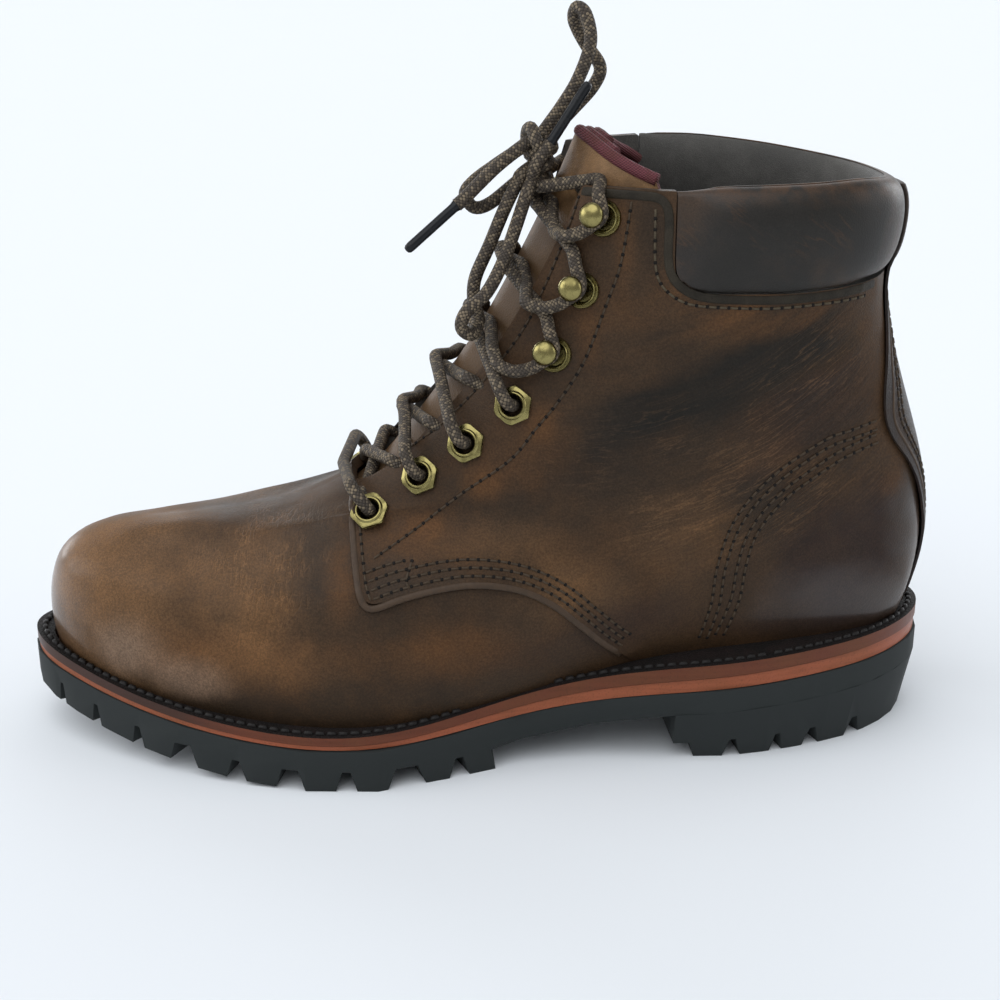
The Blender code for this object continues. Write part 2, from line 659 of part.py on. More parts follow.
def build_collar(finish, parent):
    middle = 0.175
    start = turn_at_x(COLLAR_FRONT - 0.012, middle, True)
    end = turn_at_x(COLLAR_FRONT - 0.012, middle, False)
    rows = []
    for turn in np.linspace(start, end, COLLAR_STATIONS):
        x = form_point(turn, middle)[0][0]
        foot = seam_height(x) + GAP
        rise = rim_height(x, turn < 0.5) - foot
        rows.append([form_point(turn, foot + p.rise * rise, p.outset)[0] for p in COLLAR_SECTION])
    collar = loop_solid("collar", np.array(rows), finish, parent)
    profile = collar_profile(GAP, 0.26)
    keep = prism("collar_keep", profile + [(0.170, 0.26)], -0.1, 0.1)
    combine(collar, keep, "INTERSECT")
    return collar


def collar_outset(rise):
    outer = [p for p in COLLAR_SECTION if p.outset > -0.002]
    return float(np.interp(rise, [p.rise for p in outer], [p.outset for p in outer]))


def build_backstay(finish, parent):
    columns = np.linspace(-1, 1, 11)
    lie = STEP + 2.8 * GAP
    foot = seam_height(0.132) + GAP
    rise = rim_height(0.132, True) - foot
    low = np.linspace(BACKSTAY[0].z, foot - 0.0030, 13)
    half = np.interp(low, [s.z for s in BACKSTAY], [s.half for s in BACKSTAY])
    rows = [(z, h, lie) for z, h in zip(low, half)]
    for share in (0.10, 0.34, 0.68, 0.90):
        rows.append((foot + share * rise, half[-1], collar_outset(share) + 2 * GAP))
    outer, inner = [], []
    for z, reach, outset in rows:
        turns = [turn_at_y(c * reach, z, front=False) for c in columns]
        inner.append([form_point(turn, z, outset)[0] for turn in turns])
        outer.append([form_point(turn, z, outset + BACKSTAY_THICKNESS)[0] for turn in turns])
    return patch_solid("backstay", np.array(outer), np.array(inner), finish, parent)


def build_tongue(finish, parent):
    columns = np.linspace(-1, 1, 15)
    outer, inner = [], []
    for row in TONGUE:
        near, far = [], []
        for c in columns:
            y = c * row.half
            droop = 0.012 * smooth((row.z - 0.170) / 0.030) * c * c
            z = row.z - droop
            turn = turn_at_y(y, z, front=True)
            proud = 0.0020 * (1 - smooth((abs(y) - 0.003) / 0.008)) * smooth((row.z - 0.100) / 0.020)
            outset = proud - WALL - 3 * GAP
            near.append(form_point(turn, z, outset)[0])
            far.append(form_point(turn, z, outset - TONGUE_THICKNESS)[0])
        outer.append(near)
        inner.append(far)
    return patch_solid("tongue", np.array(outer), np.array(inner), finish, parent)


def layer(outline, column, lift=0.0):
    z = tread_height(outline[:, 0]) if column == "tread" else station_height(column, outline[:, 0])
    return np.column_stack([outline, z + lift])


def inset(outline, distance):
    """Outline moved inward along its own normals."""
    along = np.roll(outline, -1, axis=0) - np.roll(outline, 1, axis=0)
    normal = np.column_stack([-along[:, 1], along[:, 0]])
    normal /= np.linalg.norm(normal, axis=1, keepdims=True)
    centre = np.array([0.0, 0.0])
    if ((centre - outline) * normal).sum() < 0:
        normal = -normal
    return outline + distance * normal


def edge_place(x, lateral):
    """Point of the sole's edge at x, and its inward direction."""
    xs, ys = sole_curve(lateral)
    near = int(np.argmin(np.abs(xs - x)))
    a, b = max(near - 4, 0), min(near + 4, len(xs) - 1)
    along = np.array([xs[b] - xs[a], ys[b] - ys[a]])
    along /= np.linalg.norm(along)
    inward = np.array([-along[1], along[0]]) if lateral else np.array([along[1], -along[0]])
    return np.array([xs[near], ys[near]]), along, inward


def notch_block(notch, lateral, depth, reach):
    place, along, inward = edge_place(notch.x, lateral)
    floor = float(tread_height(np.array(notch.x)))
    below = 0.004
    slope = (notch.floor - notch.roof) / depth
    widths = [(floor - below, notch.floor + slope * below), (floor + depth, notch.roof)]
    rows = []
    for far in (-0.008, reach):
        base = place + far * inward
        (z0, w0), (z1, w1) = widths
        corners = [(-w0 / 2, z0), (w0 / 2, z0), (w1 / 2, z1), (-w1 / 2, z1)]
        rows.append([(*(base + t * along), z) for t, z in corners])
    return loop_solid("notch", np.array(rows))


def build_outsole(finish, parent):
    fractions = spread(SIDE_POINTS)
    outline = sole_points(fractions)
    outsole = slab_solid("outsole", layer(outline, "tread"), layer(outline, "rubber"), finish, parent)
    arch = [(0.0045, -0.012), (-0.0005, 0.0075)]
    arch += [(s.x, s.underside) for s in STATIONS if s.x > 0.01]
    end = STATIONS[-1]
    arch += [(0.180, end.underside), (0.180, -0.012)]
    combine(outsole, prism("arch_cut", arch, -0.1, 0.1), "DIFFERENCE")
    for start, name in enumerate(("edge_grooves_even", "edge_grooves_odd")):
        blocks = []
        for lateral in (True, False):
            for notch in FOREFOOT_NOTCHES[start::2]:
                reach = 0.0165 if notch.x > -0.11 else 0.0145
                if notch.x < -0.14:
                    reach = 0.0100
                blocks.append(notch_block(notch, lateral, LUG_DEPTH, reach))
        combine(outsole, joined(name, blocks), "DIFFERENCE")

    half = SIDE_POINTS
    order = [j for j in range(half, -1, -1)] + [j for j in range(2 * half - 1, half, -1)]
    outside = inset(outline, 0.0150)[order]
    inside = inset(outline, 0.0190)[order]
    rows = []
    for a, b in zip(outside, inside):
        if a[0] > 0.012:
            continue
        roof_a = float(tread_height(a[0])) + LUG_DEPTH
        roof_b = float(tread_height(b[0])) + LUG_DEPTH
        rows.append([(*a, -0.006), (*b, -0.006), (*b, roof_b), (*a, roof_a)])
    combine(outsole, loop_solid("channel", np.array(rows)), "DIFFERENCE")

    bars = []
    for x in CROSS_GROOVES:
        roof = float(tread_height(x)) + LUG_DEPTH
        reach = CROSS_REACH - CROSS_TAPER * max(0, CROSS_TAPER_START - x)
        foot, top = CROSS_FOOT, CROSS_TOP
        section = [(x - foot, -0.006), (x + foot, -0.006), (x + top, roof), (x - top, roof)]
        bars.append(prism("bar", section, -reach, reach))
    combine(outsole, joined("cross_grooves", bars), "DIFFERENCE")
    return outsole


def build_heel(finish, parent):
    count = 11
    sides = []
    for lateral in (True, False):
        x, y = sole_curve(lateral)
        keep = x > HEEL_FRONT
        x, y = x[keep], y[keep]
        run = np.concatenate([[0], np.cumsum(np.hypot(np.diff(x), np.diff(y)))])
        at = np.linspace(0, 1, count) ** 0.8 * run[-1]
        sides.append(np.column_stack([np.interp(at, run, x), np.interp(at, run, y)]))
    outline = np.concatenate([[[HEEL_FRONT, 0.0]], sides[0], sides[1][::-1][1:]])
    centre = np.array([0.100, 0.0])
    away = outline - centre
    away[:, 0] = np.maximum(away[:, 0], 0)
    reach = np.maximum(np.linalg.norm(away, axis=1, keepdims=True), HEEL_TAPER)
    low = outline - HEEL_TAPER * away / reach
    bottom = np.column_stack([low, np.zeros(len(low))])
    heel = slab_solid("heel", bottom, layer(outline, "underside", -GAP), finish, parent)
    blocks = [notch_block(notch, lateral, HEEL_LUG_DEPTH, HEEL_NOTCH_REACH)
              for lateral in (True, False) for notch in HEEL_NOTCHES]
    combine(heel, joined("heel_grooves", blocks), "DIFFERENCE")
    front = [(HEEL_CUT_FRONT, -0.01), (HEEL_CUT_FOOT, -0.01),
             (HEEL_CUT_TOP, HEEL_CUT_HEIGHT), (HEEL_CUT_FRONT, HEEL_CUT_HEIGHT)]
    combine(heel, prism("heel_front_cut", front, -0.1, 0.1), "DIFFERENCE")
    return heel


def build_midsole(finish, parent):
    outline = inset(sole_points(spread(SIDE_POINTS)), 0.0004)
    low, high = layer(outline, "rubber", GAP), layer(outline, "midsole")
    return slab_solid("midsole", low, high, finish, parent, True)


def build_insole(finish, parent):
    outline = inset(ring_points(RINGS[0], spread(SIDE_POINTS)), INSOLE_INSET)
    seat = 1.8 * GAP
    low, high = layer(outline, "midsole", seat), layer(outline, "midsole", seat + INSOLE_THICKNESS)
    return slab_solid("insole", low, high, finish, parent, True)


def build_welt(finish, parent):
    fractions = spread(SIDE_POINTS)
    outline = sole_points(fractions)
    base = upper_grid([0.0], fractions)
    base = np.concatenate([base, upper_grid([0.3], fractions)])
    foot_normals = grid_normals(base)[0]
    turns = np.concatenate([fractions / 2, 1 - fractions[::-1][1:-1] / 2])
    rows = []
    for j, turn in enumerate(turns):
        x, y = outline[j]
        low = float(station_height("midsole", x)) + GAP
        top = float(station_height("welt", x))
        inner_low = base[0, j] + 1.4 * GAP * foot_normals[j]
        reach, normal = form_point(turn, top, 1.4 * GAP)
        inner_top = np.array([reach[0], reach[1], station_height("welt", reach[0])])
        inner_low[2] = station_height("midsole", inner_low[0]) + GAP
        rows.append([inner_low, (x, y, low), (x, y, top), inner_top])
    return ring_solid("welt", np.array(rows), finish, parent)


def build_eyelets(finish, parent):
    sides = 12
    turns = np.linspace(0, 2 * math.pi, sides, endpoint=False)
    folded = (turns + math.pi / 6) % (math.pi / 3) - math.pi / 6
    hexagon = EYELET_FLAT / np.cos(folded)
    lift = GAP
    foot = -WALL - STEP + 0.0002
    circle = np.ones(sides)
    profile = [(EYELET_HOLE * circle, foot), (EYELET_HOLE * circle, lift + EYELET_HEIGHT),
               (0.9 * hexagon, lift + EYELET_HEIGHT), (hexagon, lift),
               (EYELET_BARREL * circle, lift), (EYELET_BARREL * circle, foot)]
    grid = np.array([[(r * math.cos(a), r * math.sin(a), z) for r, a in zip(radius, turns)]
                     for radius, z in profile])
    for lateral in (True, False):
        for row, hold in enumerate(EYELETS, 1):
            name = f"eyelet_{'outer' if lateral else 'inner'}_{row}"
            item = ring_solid(name, grid, finish, parent)
            place(item, *hold_frame(hold, lateral))


def build_hooks(finish, parent):
    sides = 8
    turns = np.linspace(0, 2 * math.pi, sides, endpoint=False)
    Section = namedtuple("Section", "height shift radius")
    sections = [
        Section(GAP, 0.0, HOOK_BASE), Section(0.0011, 0.0, HOOK_BASE),
        Section(0.0013, 0.0, 0.0022), Section(0.0034, 0.0006, 0.0019),
        Section(0.0060, 0.0018, 0.0022), Section(0.0064, 0.0024, 0.0036),
        Section(0.0076, 0.0026, HOOK_HEAD), Section(0.0091, 0.0026, 0.0036),
        Section(0.0099, 0.0026, 0.0020),
    ]
    grid = np.array([[(s.shift + s.radius * math.cos(a), s.radius * math.sin(a), s.height) for a in turns]
                     for s in sections])
    for lateral in (True, False):
        for row, hold in enumerate(HOOKS, 1):
            name = f"hook_{'outer' if lateral else 'inner'}_{row}"
            item = loop_solid(name, grid, finish, parent)
            place(item, *hold_frame(hold, lateral))


def place(item, point, normal):
    """Stand a fitting on the leather with its own X toward the throat."""
    up = Vector(normal)
    ahead = Vector((-1, 0, 0.15))
    toward = ahead - up * up.dot(ahead)
    toward.normalize()
    side = up.cross(toward)
    turn = Matrix((toward, side, up)).transposed()
    item.matrix_world = Matrix.Translation(Vector(point)) @ turn.to_4x4()


def hold_spot(row, lateral, shift):
    """Middle of a lace where it leaves an eyelet or a hook."""
    foot, along, out = throat_frame()
    eyelet = row < len(EYELETS)
    hold = EYELETS[row] if eyelet else HOOKS[row - len(EYELETS)]
    point, normal = hold_frame(hold, lateral)
    turn = turn_at_x(hold.x, hold.z, lateral)
    side = -1 if lateral else 1
    across = np.array([-0.5, -side * 0.8, 0.3])
    across -= normal * (across @ normal)
    across /= np.linalg.norm(across)
    slide = along - normal * (along @ normal)
    slide /= np.linalg.norm(slide)
    if eyelet:
        height, reach = EYELET_HEIGHT + 4 * GAP + LACE / 2, 0.0
    else:
        height, reach = HOOK_NECK, HOOK_REACH
    return point + height * normal + reach * across + shift * slide, turn, hold.z


def lace_strand(start, end, crest):
    """Path of a lace from one side of the throat over the tongue to the other."""
    (first, first_turn, first_z), (last, last_turn, last_z) = start, end
    middle_z = 0.5 * (first_z + last_z) + CREST_RISE
    if first_turn > 0.5:
        first_turn = first_turn - 1
    if last_turn > 0.5:
        last_turn = last_turn - 1
    clear = STEP + 2 * GAP + LACE / 2
    points = [first]
    rise = max(0.4 * crest, SHOULDER_RISE)
    points.append(form_point(0.45 * first_turn, 0.5 * (first_z + middle_z), clear + rise)[0])
    points.append(form_point(0.0, middle_z, clear - STEP + crest)[0])
    points.append(form_point(0.45 * last_turn, 0.5 * (last_z + middle_z), clear + rise)[0])
    points.append(last)
    return curve_through(points, 2)


def build_crossings(finish, parent):
    rows = len(EYELETS) + len(HOOKS)
    side = 0.64 * LACE
    start = hold_spot(0, True, -side)
    end = hold_spot(0, False, -side)
    path = lace_strand(start, end, BAR_RISE)
    loop_solid("lace_bar", tube_grid(path, LACE / 2, 6), finish, parent)
    for row in range(rows - 1):
        under = lace_strand(hold_spot(row, True, side), hold_spot(row + 1, False, -side), 0.0)
        over = lace_strand(hold_spot(row, False, side), hold_spot(row + 1, True, -side), 0.55 * LACE)
        cross = loop_solid(f"lace_cross_{row + 1}", tube_grid(under, LACE / 2, 6), finish, parent)
        combine(cross, loop_solid(f"lace_over_{row + 1}", tube_grid(over, LACE / 2, 6)), "UNION")


def build_bow(finish, parent):
    turns = np.linspace(0, 2 * math.pi, 10, endpoint=False)
    rows = []
    for a in np.linspace(-1.25, 1.25, 6):
        ring = [(KNOT.x + KNOT_HALF.x * math.cos(a) * math.cos(t), KNOT.y + KNOT_HALF.y * math.sin(a),
                 KNOT.z + KNOT_HALF.z * math.cos(a) * math.sin(t)) for t in turns]
        rows.append(ring)
    loop_solid("lace_knot", np.array(rows), finish, parent)
    cord("lace_loop_up", LOOP_UP, finish, parent)
    cord("lace_loop_left", LOOP_LEFT, finish, parent)
    cord("lace_loop_down", LOOP_DOWN, finish, parent)
    cord("lace_end_left", END_LEFT, finish, parent)
    cord("lace_end_up", END_UP, finish, parent)


def cord(name, points, finish, parent):
    """Round lace along a path, with filled ends."""
    data = bpy.data.curves.new(name, "CURVE")
    data.dimensions = "3D"
    data.bevel_depth = LACE / 2
    data.bevel_resolution = 1
    data.use_fill_caps = True
    line = data.splines.new("POLY")
    line.points.add(len(points) - 1)
    for spot, point in zip(line.points, points):
        spot.co = (point.x, point.y, point.z, 1)
    data.materials.append(finish)
    item = bpy.data.objects.new(name, data)
    bpy.context.scene.collection.objects.link(item)
    item.parent = parent
    return item


def build_ties(finish, parent):
    """Top strands from the last hooks to the sides of the knot."""
    top = len(EYELETS) + len(HOOKS) - 1
    side = 0.64 * LACE
    for lateral in (True, False):
        spot, turn, z = hold_spot(top, lateral, side)
        sign = -1 if lateral else 1
        end = np.array([KNOT.x + 0.0010, KNOT.y + sign * (KNOT_HALF.y - 0.0003), KNOT.z - 0.0045])
        bend = 0.5 * (spot + end) + np.array([-0.004, sign * 0.003, 0.0])
        path = curve_through([spot, bend, end], 2)
        name = f"lace_tie_{'outer' if lateral else 'inner'}"
        loop_solid(name, tube_grid(path, LACE / 2, 6), finish, parent)


def main():
    for item in list(bpy.data.objects):
        bpy.data.objects.remove(item)
    boot = bpy.data.objects.new("boot", None)
    bpy.context.scene.collection.objects.link(boot)
    leather = material("upper_leather", (0.13, 0.075, 0.045), 0.45)
    collar_leather = material("collar_leather", (0.07, 0.05, 0.045), 0.5)
    strip_leather = material("backstay_leather", (0.06, 0.042, 0.038), 0.5)
    tongue_leather = material("tongue_leather", (0.16, 0.09, 0.055), 0.55)
    rubber = material("sole_rubber", (0.025, 0.03, 0.033), 0.75)
    heel_rubber = material("heel_rubber", (0.025, 0.03, 0.033), 0.75)
    sole_leather = material("midsole_leather", (0.22, 0.10, 0.05), 0.55)
    welt_leather = material("welt_leather", (0.035, 0.028, 0.028), 0.5)
    sock = material("insole_leather", (0.10, 0.075, 0.06), 0.7)
    lace = material("lace_cord", (0.05, 0.042, 0.036), 0.8)
    brass = material("brass", (0.45, 0.33, 0.14), 0.35, 1.0)
    build_outsole(rubber, boot)
    build_heel(heel_rubber, boot)
    build_midsole(sole_leather, boot)
    build_welt(welt_leather, boot)
    build_insole(sock, boot)
    build_upper(leather, boot)
    build_tongue(tongue_leather, boot)
    build_collar(collar_leather, boot)
    build_backstay(strip_leather, boot)
    build_eyelets(brass, boot)
    build_hooks(brass, boot)
    build_crossings(lace, boot)
    build_ties(lace, boot)
    build_bow(lace, boot)


main()
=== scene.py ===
"""Dresses a worn work boot: hide, stitching, padding, brass, laces, welt, lugged rubber and a studio."""
import math

import bpy
import numpy as np
from bpy.props import FloatProperty, FloatVectorProperty, PointerProperty
from mathutils import Matrix, Vector
from mathutils.bvhtree import BVHTree


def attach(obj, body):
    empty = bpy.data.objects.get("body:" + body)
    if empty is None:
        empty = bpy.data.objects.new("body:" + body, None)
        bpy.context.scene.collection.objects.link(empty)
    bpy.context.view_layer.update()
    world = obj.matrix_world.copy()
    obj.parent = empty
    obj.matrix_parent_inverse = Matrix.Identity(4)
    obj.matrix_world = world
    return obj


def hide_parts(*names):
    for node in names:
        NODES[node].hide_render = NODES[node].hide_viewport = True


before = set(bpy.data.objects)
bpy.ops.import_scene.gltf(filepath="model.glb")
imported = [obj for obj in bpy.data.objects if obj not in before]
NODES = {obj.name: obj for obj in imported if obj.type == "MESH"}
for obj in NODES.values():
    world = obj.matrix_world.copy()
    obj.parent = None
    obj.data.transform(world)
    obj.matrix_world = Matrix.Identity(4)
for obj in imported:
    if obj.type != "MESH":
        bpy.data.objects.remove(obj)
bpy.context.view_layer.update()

bl_info = {
    "name": "Work Boot",
    "version": (1, 0, 0),
    "blender": (4, 5, 0),
    "location": "View3D > Sidebar > Work Boot",
    "description": "Dresses a packed work boot with leather, stitching, brass, laces and rubber",
    "category": "Object",
}

MM = 0.001
BODY = "root"
LATERAL, MEDIAL = -1, 1
SIDES = (LATERAL, MEDIAL)
SIDE_NAME = {LATERAL: "outer", MEDIAL: "inner"}
# Points closer than this are welded, and looks at the leather start this far away.
WELD, FAR = 0.02 * MM, 0.3
# Gap between the solids of heel and outsole, which the dressed heel closes.
HEEL_GAP = 0.34 * MM
# Levels of rounding, and the steps between points along seams and cords.
ROUNDING = 2
SEAM_STEP, CORD_STEP = 0.4 * MM, 0.9 * MM

# Directions of the lacing: up along the throat and straight out of it.
UP_THROAT = Vector((0.591, 0.0, 0.806))
OUT_THROAT = Vector((-0.806, 0.0, 0.591))
# Looks at the tongue start this far out of the throat.
ABOVE_THROAT = 0.12
EYELET_ROWS = 4
# Middles of the hooks from the side, as x and z in millimetres.
HOOK_SPOTS = ((21.2, 138.5), (29.7, 158.7), (36.2, 180.8))

# Seams seen from the side as x and z in millimetres; both sides of the boot carry them.
QUARTER_CUT = ((-44.0, 91.0), (-43.6, 80.0), (-42.4, 69.0), (-41.0, 64.5), (-38.0, 63.2), (-29.0, 66.0),
               (-16.5, 68.2), (-4.0, 68.8), (8.5, 66.0), (18.7, 60.5), (27.0, 52.8), (35.0, 45.0),
               (42.0, 39.0))
# How far each point of the quarters' cut slides, to the seam's place on the leather.
QUARTER_SLIP = ((0.0, 0.0), (0.0, -0.6), (0.0, -2.2), (0.3, -3.2), (0.6, -3.3), (0.6, -3.4),
                (1.0, -3.3), (1.5, -3.1), (2.0, -2.9), (2.3, -3.1), (2.6, -3.1), (2.6, -2.9), (2.5, -2.6))
QUARTER_EDGE = tuple((x + dx, z + dz) for (x, z), (dx, dz) in zip(QUARTER_CUT, QUARTER_SLIP))
QUARTER_FRONT = QUARTER_EDGE[:4]
QUARTER_FOOT = QUARTER_EDGE[4:]
# Rows of stitches in from the edges they follow, the box at the quarters' front, and the needle holes.
QUARTER_ROWS = (2.7, 5.1, 7.5)
BARTACK_END, BARTACK_FOOT, BARTACK_RISE = -24.5, 1.9, 9.9
FRONT_INSET = 2.4
COUNTER_PAIR = (-1.45, 1.45)
BACK_ROWS = (3.0, 4.8)
HOLE_RISE = 0.34
# The quarters' edge is found this far in from the cut, and moved back over the leather.
EDGE_IN, EDGE_BACK = 2.0, 2.2
THROAT_ROW = ((-36.0, 96.0), (-27.0, 102.8), (-13.0, 114.5), (-0.6, 128.0), (11.8, 144.6), (19.8, 161.0),
              (26.5, 178.0), (29.5, 187.0))
FACING_ROW = ((-37.5, 73.0), (-21.9, 82.6), (-8.9, 92.7), (7.1, 104.6), (15.1, 114.6), (22.8, 124.5),
              (30.5, 137.4), (37.4, 156.3), (41.2, 168.0), (44.2, 186.9))
COUNTER_ROW = ((127.0, 113.4), (118.0, 111.4), (108.2, 108.5), (92.3, 97.5), (81.7, 83.9), (76.9, 67.5),
               (75.5, 52.8), (72.2, 39.5))
COUNTER_ROW_LOW = ((127.4, 109.0), (119.0, 106.6), (110.4, 102.5), (96.0, 92.1), (87.1, 79.8),
                   (83.7, 67.1), (82.2, 54.3), (77.6, 40.0))
COLLAR_ROW = ((51.0, 185.0), (51.0, 176.0), (51.4, 167.0), (53.4, 161.4), (58.0, 157.4), (64.0, 155.3),
              (76.0, 154.4), (88.0, 154.1), (103.0, 154.8), (121.0, 155.8))
COLLAR_BINDING = ((29.5, 188.2), (38.0, 188.3), (46.0, 188.3), (51.5, 187.8), (54.2, 185.4),
                  (55.0, 181.0), (55.0, 175.0), (55.1, 169.5), (56.4, 164.3), (60.2, 160.2),
                  (66.0, 157.9), (76.0, 157.0), (88.0, 156.7), (102.0, 157.2), (114.0, 158.1),
                  (124.0, 159.0))
# Seams seen from behind as y and z in millimetres.
COLLAR_BACK = ((0.0, 157.0), (0.0, 166.0), (0.0, 176.0), (0.0, 184.0), (0.0, 187.5))
BACK_EDGE = ((9.5, 44.0), (10.3, 58.0), (14.6, 75.0), (19.6, 85.0), (25.0, 97.0), (28.8, 107.5),
             (29.6, 115.0), (26.9, 124.0), (23.4, 134.0), (16.2, 149.0), (14.6, 156.0))
# The inner facing stands higher: by how much, between which heights, and up to which place behind it.
MEDIAL_RISE, RISE_FOOT, RISE_TOP, RISE_FRONT, RISE_BACK = 8.5, 176.0, 190.0, 56.0, 62.0
# How far the shoulders of the vamp's crown are lowered.
CROWN_DROP = 2.2

# Middle lines of the bow, from the knot outwards, in metres.
KNOT = Vector((0.0185, -0.0040, 0.1950))
KNOT_TURN = ((0.0192, -0.0060, 0.1955), (0.0188, -0.0098, 0.1984), (0.0170, -0.0112, 0.2022),
             (0.0157, -0.0084, 0.2058), (0.0148, -0.0040, 0.2042), (0.0152, -0.0022, 0.1995),
             (0.0172, -0.0034, 0.1955))
LOOP_UP = ((0.0193, -0.0045, 0.2034), (0.0259, -0.0045, 0.2124), (0.0309, -0.0045, 0.2207),
           (0.0345, -0.0035, 0.2310), (0.0334, -0.0010, 0.2391), (0.0308, 0.0020, 0.2414),
           (0.0303, 0.0042, 0.2374), (0.0340, 0.0058, 0.2305), (0.0390, 0.0060, 0.2233),
           (0.0372, 0.0060, 0.2175), (0.0310, 0.0055, 0.2106), (0.0229, 0.0032, 0.2030))
LOOP_LEFT = ((0.0134, -0.0002, 0.1988), (0.0050, -0.0025, 0.1938), (-0.0022, -0.0042, 0.1889),
             (-0.0050, -0.0050, 0.1850), (-0.0022, -0.0044, 0.1808), (0.0030, -0.0035, 0.1818),
             (0.0115, -0.0015, 0.1880))
LOOP_DOWN = ((0.0116, -0.0112, 0.1906), (0.0066, -0.0135, 0.1810), (0.0020, -0.0148, 0.1705),
             (-0.0025, -0.0156, 0.1605), (-0.0032, -0.0164, 0.1534), (-0.0018, -0.0186, 0.1472),
             (-0.0043, -0.0229, 0.1437), (-0.0077, -0.0244, 0.1466), (-0.0058, -0.0244, 0.1518),
             (0.0003, -0.0234, 0.1570), (0.0056, -0.0212, 0.1660), (0.0096, -0.0195, 0.1762),
             (0.0134, -0.0158, 0.1860))
END_LEFT = ((0.0176, -0.0066, 0.2030), (0.0141, -0.0078, 0.2010), (0.0048, -0.0109, 0.1946),
            (-0.0055, -0.0135, 0.1853), (-0.0082, -0.0142, 0.1831))
END_LEFT_TIP = (-0.0244, -0.0185, 0.1698)
END_UP = ((0.0215, 0.0020, 0.1885), (0.0175, -0.0052, 0.1862), (0.0152, -0.0105, 0.1885),
          (0.0166, -0.0125, 0.1945), (0.0190, -0.0126, 0.1985), (0.0214, -0.0125, 0.2018))
END_UP_TIP = (0.0333, -0.0115, 0.2199)


def measure(name, description, millimetres):
    """A size that a user may change."""
    return FloatProperty(name=name, description=description, default=millimetres * MM, unit="LENGTH")


def dye(name, description, *default):
    """A colour that a user may change."""
    return FloatVectorProperty(name=name, description=description, default=default, subtype="COLOR")


class BootSizes(bpy.types.PropertyGroup):
    """Sizes of the fine work on the boot."""
    lace: measure("Lace", "Diameter of the round braided lace", 4.2)
    aglet: measure("Aglet", "Diameter of the plastic lace tips", 3.2)
    stitch: measure("Stitch", "Length of one stitch in the leather", 2.7)
    stitch_gap: measure("Stitch gap", "Leather between two stitches", 0.65)
    # Each needle hole is drawn as a dark dot of painted shade this long.
    hole: measure("Needle hole", "Length of the dark hole between two stitches", 1.15)
    thread: measure("Thread", "Thickness of the sewing thread", 0.75)
    welt_stitch: measure("Welt stitch", "Length of one lockstitch on the welt", 3.6)
    welt_thread: measure("Welt thread", "Thickness of the waxed welt thread", 1.9)
    pebble: measure("Grain", "Size of one pebble of the leather grain", 0.9)
    edge: measure("Cut edge", "Half the width of a turned leather edge", 1.15)


class BootColours(bpy.types.PropertyGroup):
    """Colours of the boot's materials."""
    hide: dye("Hide", "Middle brown of the oiled leather", 0.062, 0.034, 0.0165)
    hide_dark: dye("Hide dark", "Oiled dark patches", 0.0125, 0.0108, 0.0085)
    hide_tan: dye("Hide tan", "Pulled light areas and creases", 0.194, 0.099, 0.041)
    hide_rust: dye("Hide rust", "Warm rubbed areas", 0.128, 0.056, 0.019)
    # Painted reflection: the greyed sheen low on the toe is painted into the leather's colour.
    hide_pale: dye("Hide pale", "Greyed sheen low on the toe", 0.262, 0.182, 0.128)
    hide_plum: dye("Hide plum", "Darkened heel and lower quarter", 0.0215, 0.0130, 0.0120)
    collar: dye("Collar", "Leather of the padded collar", 0.027, 0.0215, 0.0185)
    edge: dye("Cut edge", "Painted cut edges of the leather", 0.062, 0.039, 0.024)
    # Painted shade: the needle holes are near black dots laid on the leather, standing in for the shade
    # inside them.
    hole: dye("Needle holes", "Dark holes between the stitches", 0.0080, 0.0058, 0.0045)
    binding: dye("Binding", "Folded binding round the collar", 0.0270, 0.0215, 0.0140)
    lining: dye("Lining", "Smooth leather inside the shaft", 0.092, 0.088, 0.081)
    tongue: dye("Tongue", "Leather of the tongue", 0.250, 0.142, 0.066)
    wine: dye("Tongue lining", "Woven lining of the tongue", 0.150, 0.034, 0.044)
    thread: dye("Thread", "Brown sewing thread", 0.060, 0.041, 0.025)
    thread_light: dye("Light thread", "Thread under the collar", 0.082, 0.064, 0.040)
    welt: dye("Welt", "Waxed welt", 0.0085, 0.0072, 0.0068)
    midsole: dye("Midsole", "Trimmed leather edge", 0.315, 0.088, 0.040)
    rubber: dye("Rubber", "Lugged sole", 0.014, 0.019, 0.020)
    brass: dye("Brass", "Eyelets and hooks", 0.280, 0.240, 0.094)
    lace: dye("Lace", "Dark yarn of the lace", 0.062, 0.048, 0.036)
    lace_fleck: dye("Lace fleck", "Light yarn of the lace", 0.240, 0.188, 0.126)
    aglet: dye("Aglet", "Plastic lace tips", 0.010, 0.011, 0.013)


class BootStage(bpy.types.PropertyGroup):
    """Floor, light and camera of the studio."""
    floor: dye("Floor", "Pale floor", 0.785, 0.814, 0.844)
    sky: FloatProperty(name="Sky", description="Strength of the even studio light", default=0.46)
    key: FloatProperty(name="Softboxes", description="Strength of all the soft boxes", default=1.12)
    lens: FloatProperty(name="Lens", description="Focal length in millimetres", default=56.8)


def sizes():
    return bpy.context.scene.boot_sizes


def colours():
    return bpy.context.scene.boot_colours


def only(piece):
    """Selects one piece alone and makes it active."""
    bpy.ops.object.select_all(action="DESELECT")
    piece.select_set(True)
    bpy.context.view_layer.objects.active = piece


def linked(name, data):
    """New object of a mesh, alone selected and active."""
    piece = bpy.data.objects.new(name, data)
    bpy.context.scene.collection.objects.link(piece)
    only(piece)
    return piece


def edit_all():
    """Opens the active piece for editing, with all of it selected."""
    bpy.ops.object.mode_set(mode="EDIT")
    bpy.ops.mesh.select_all(action="SELECT")


def stop_editing():
    bpy.ops.object.mode_set(mode="OBJECT")


def smooth_within(degrees):
    """Shades the active piece smooth, apart from its edges sharper than an angle."""
    bpy.ops.object.shade_smooth_by_angle(angle=math.radians(degrees))


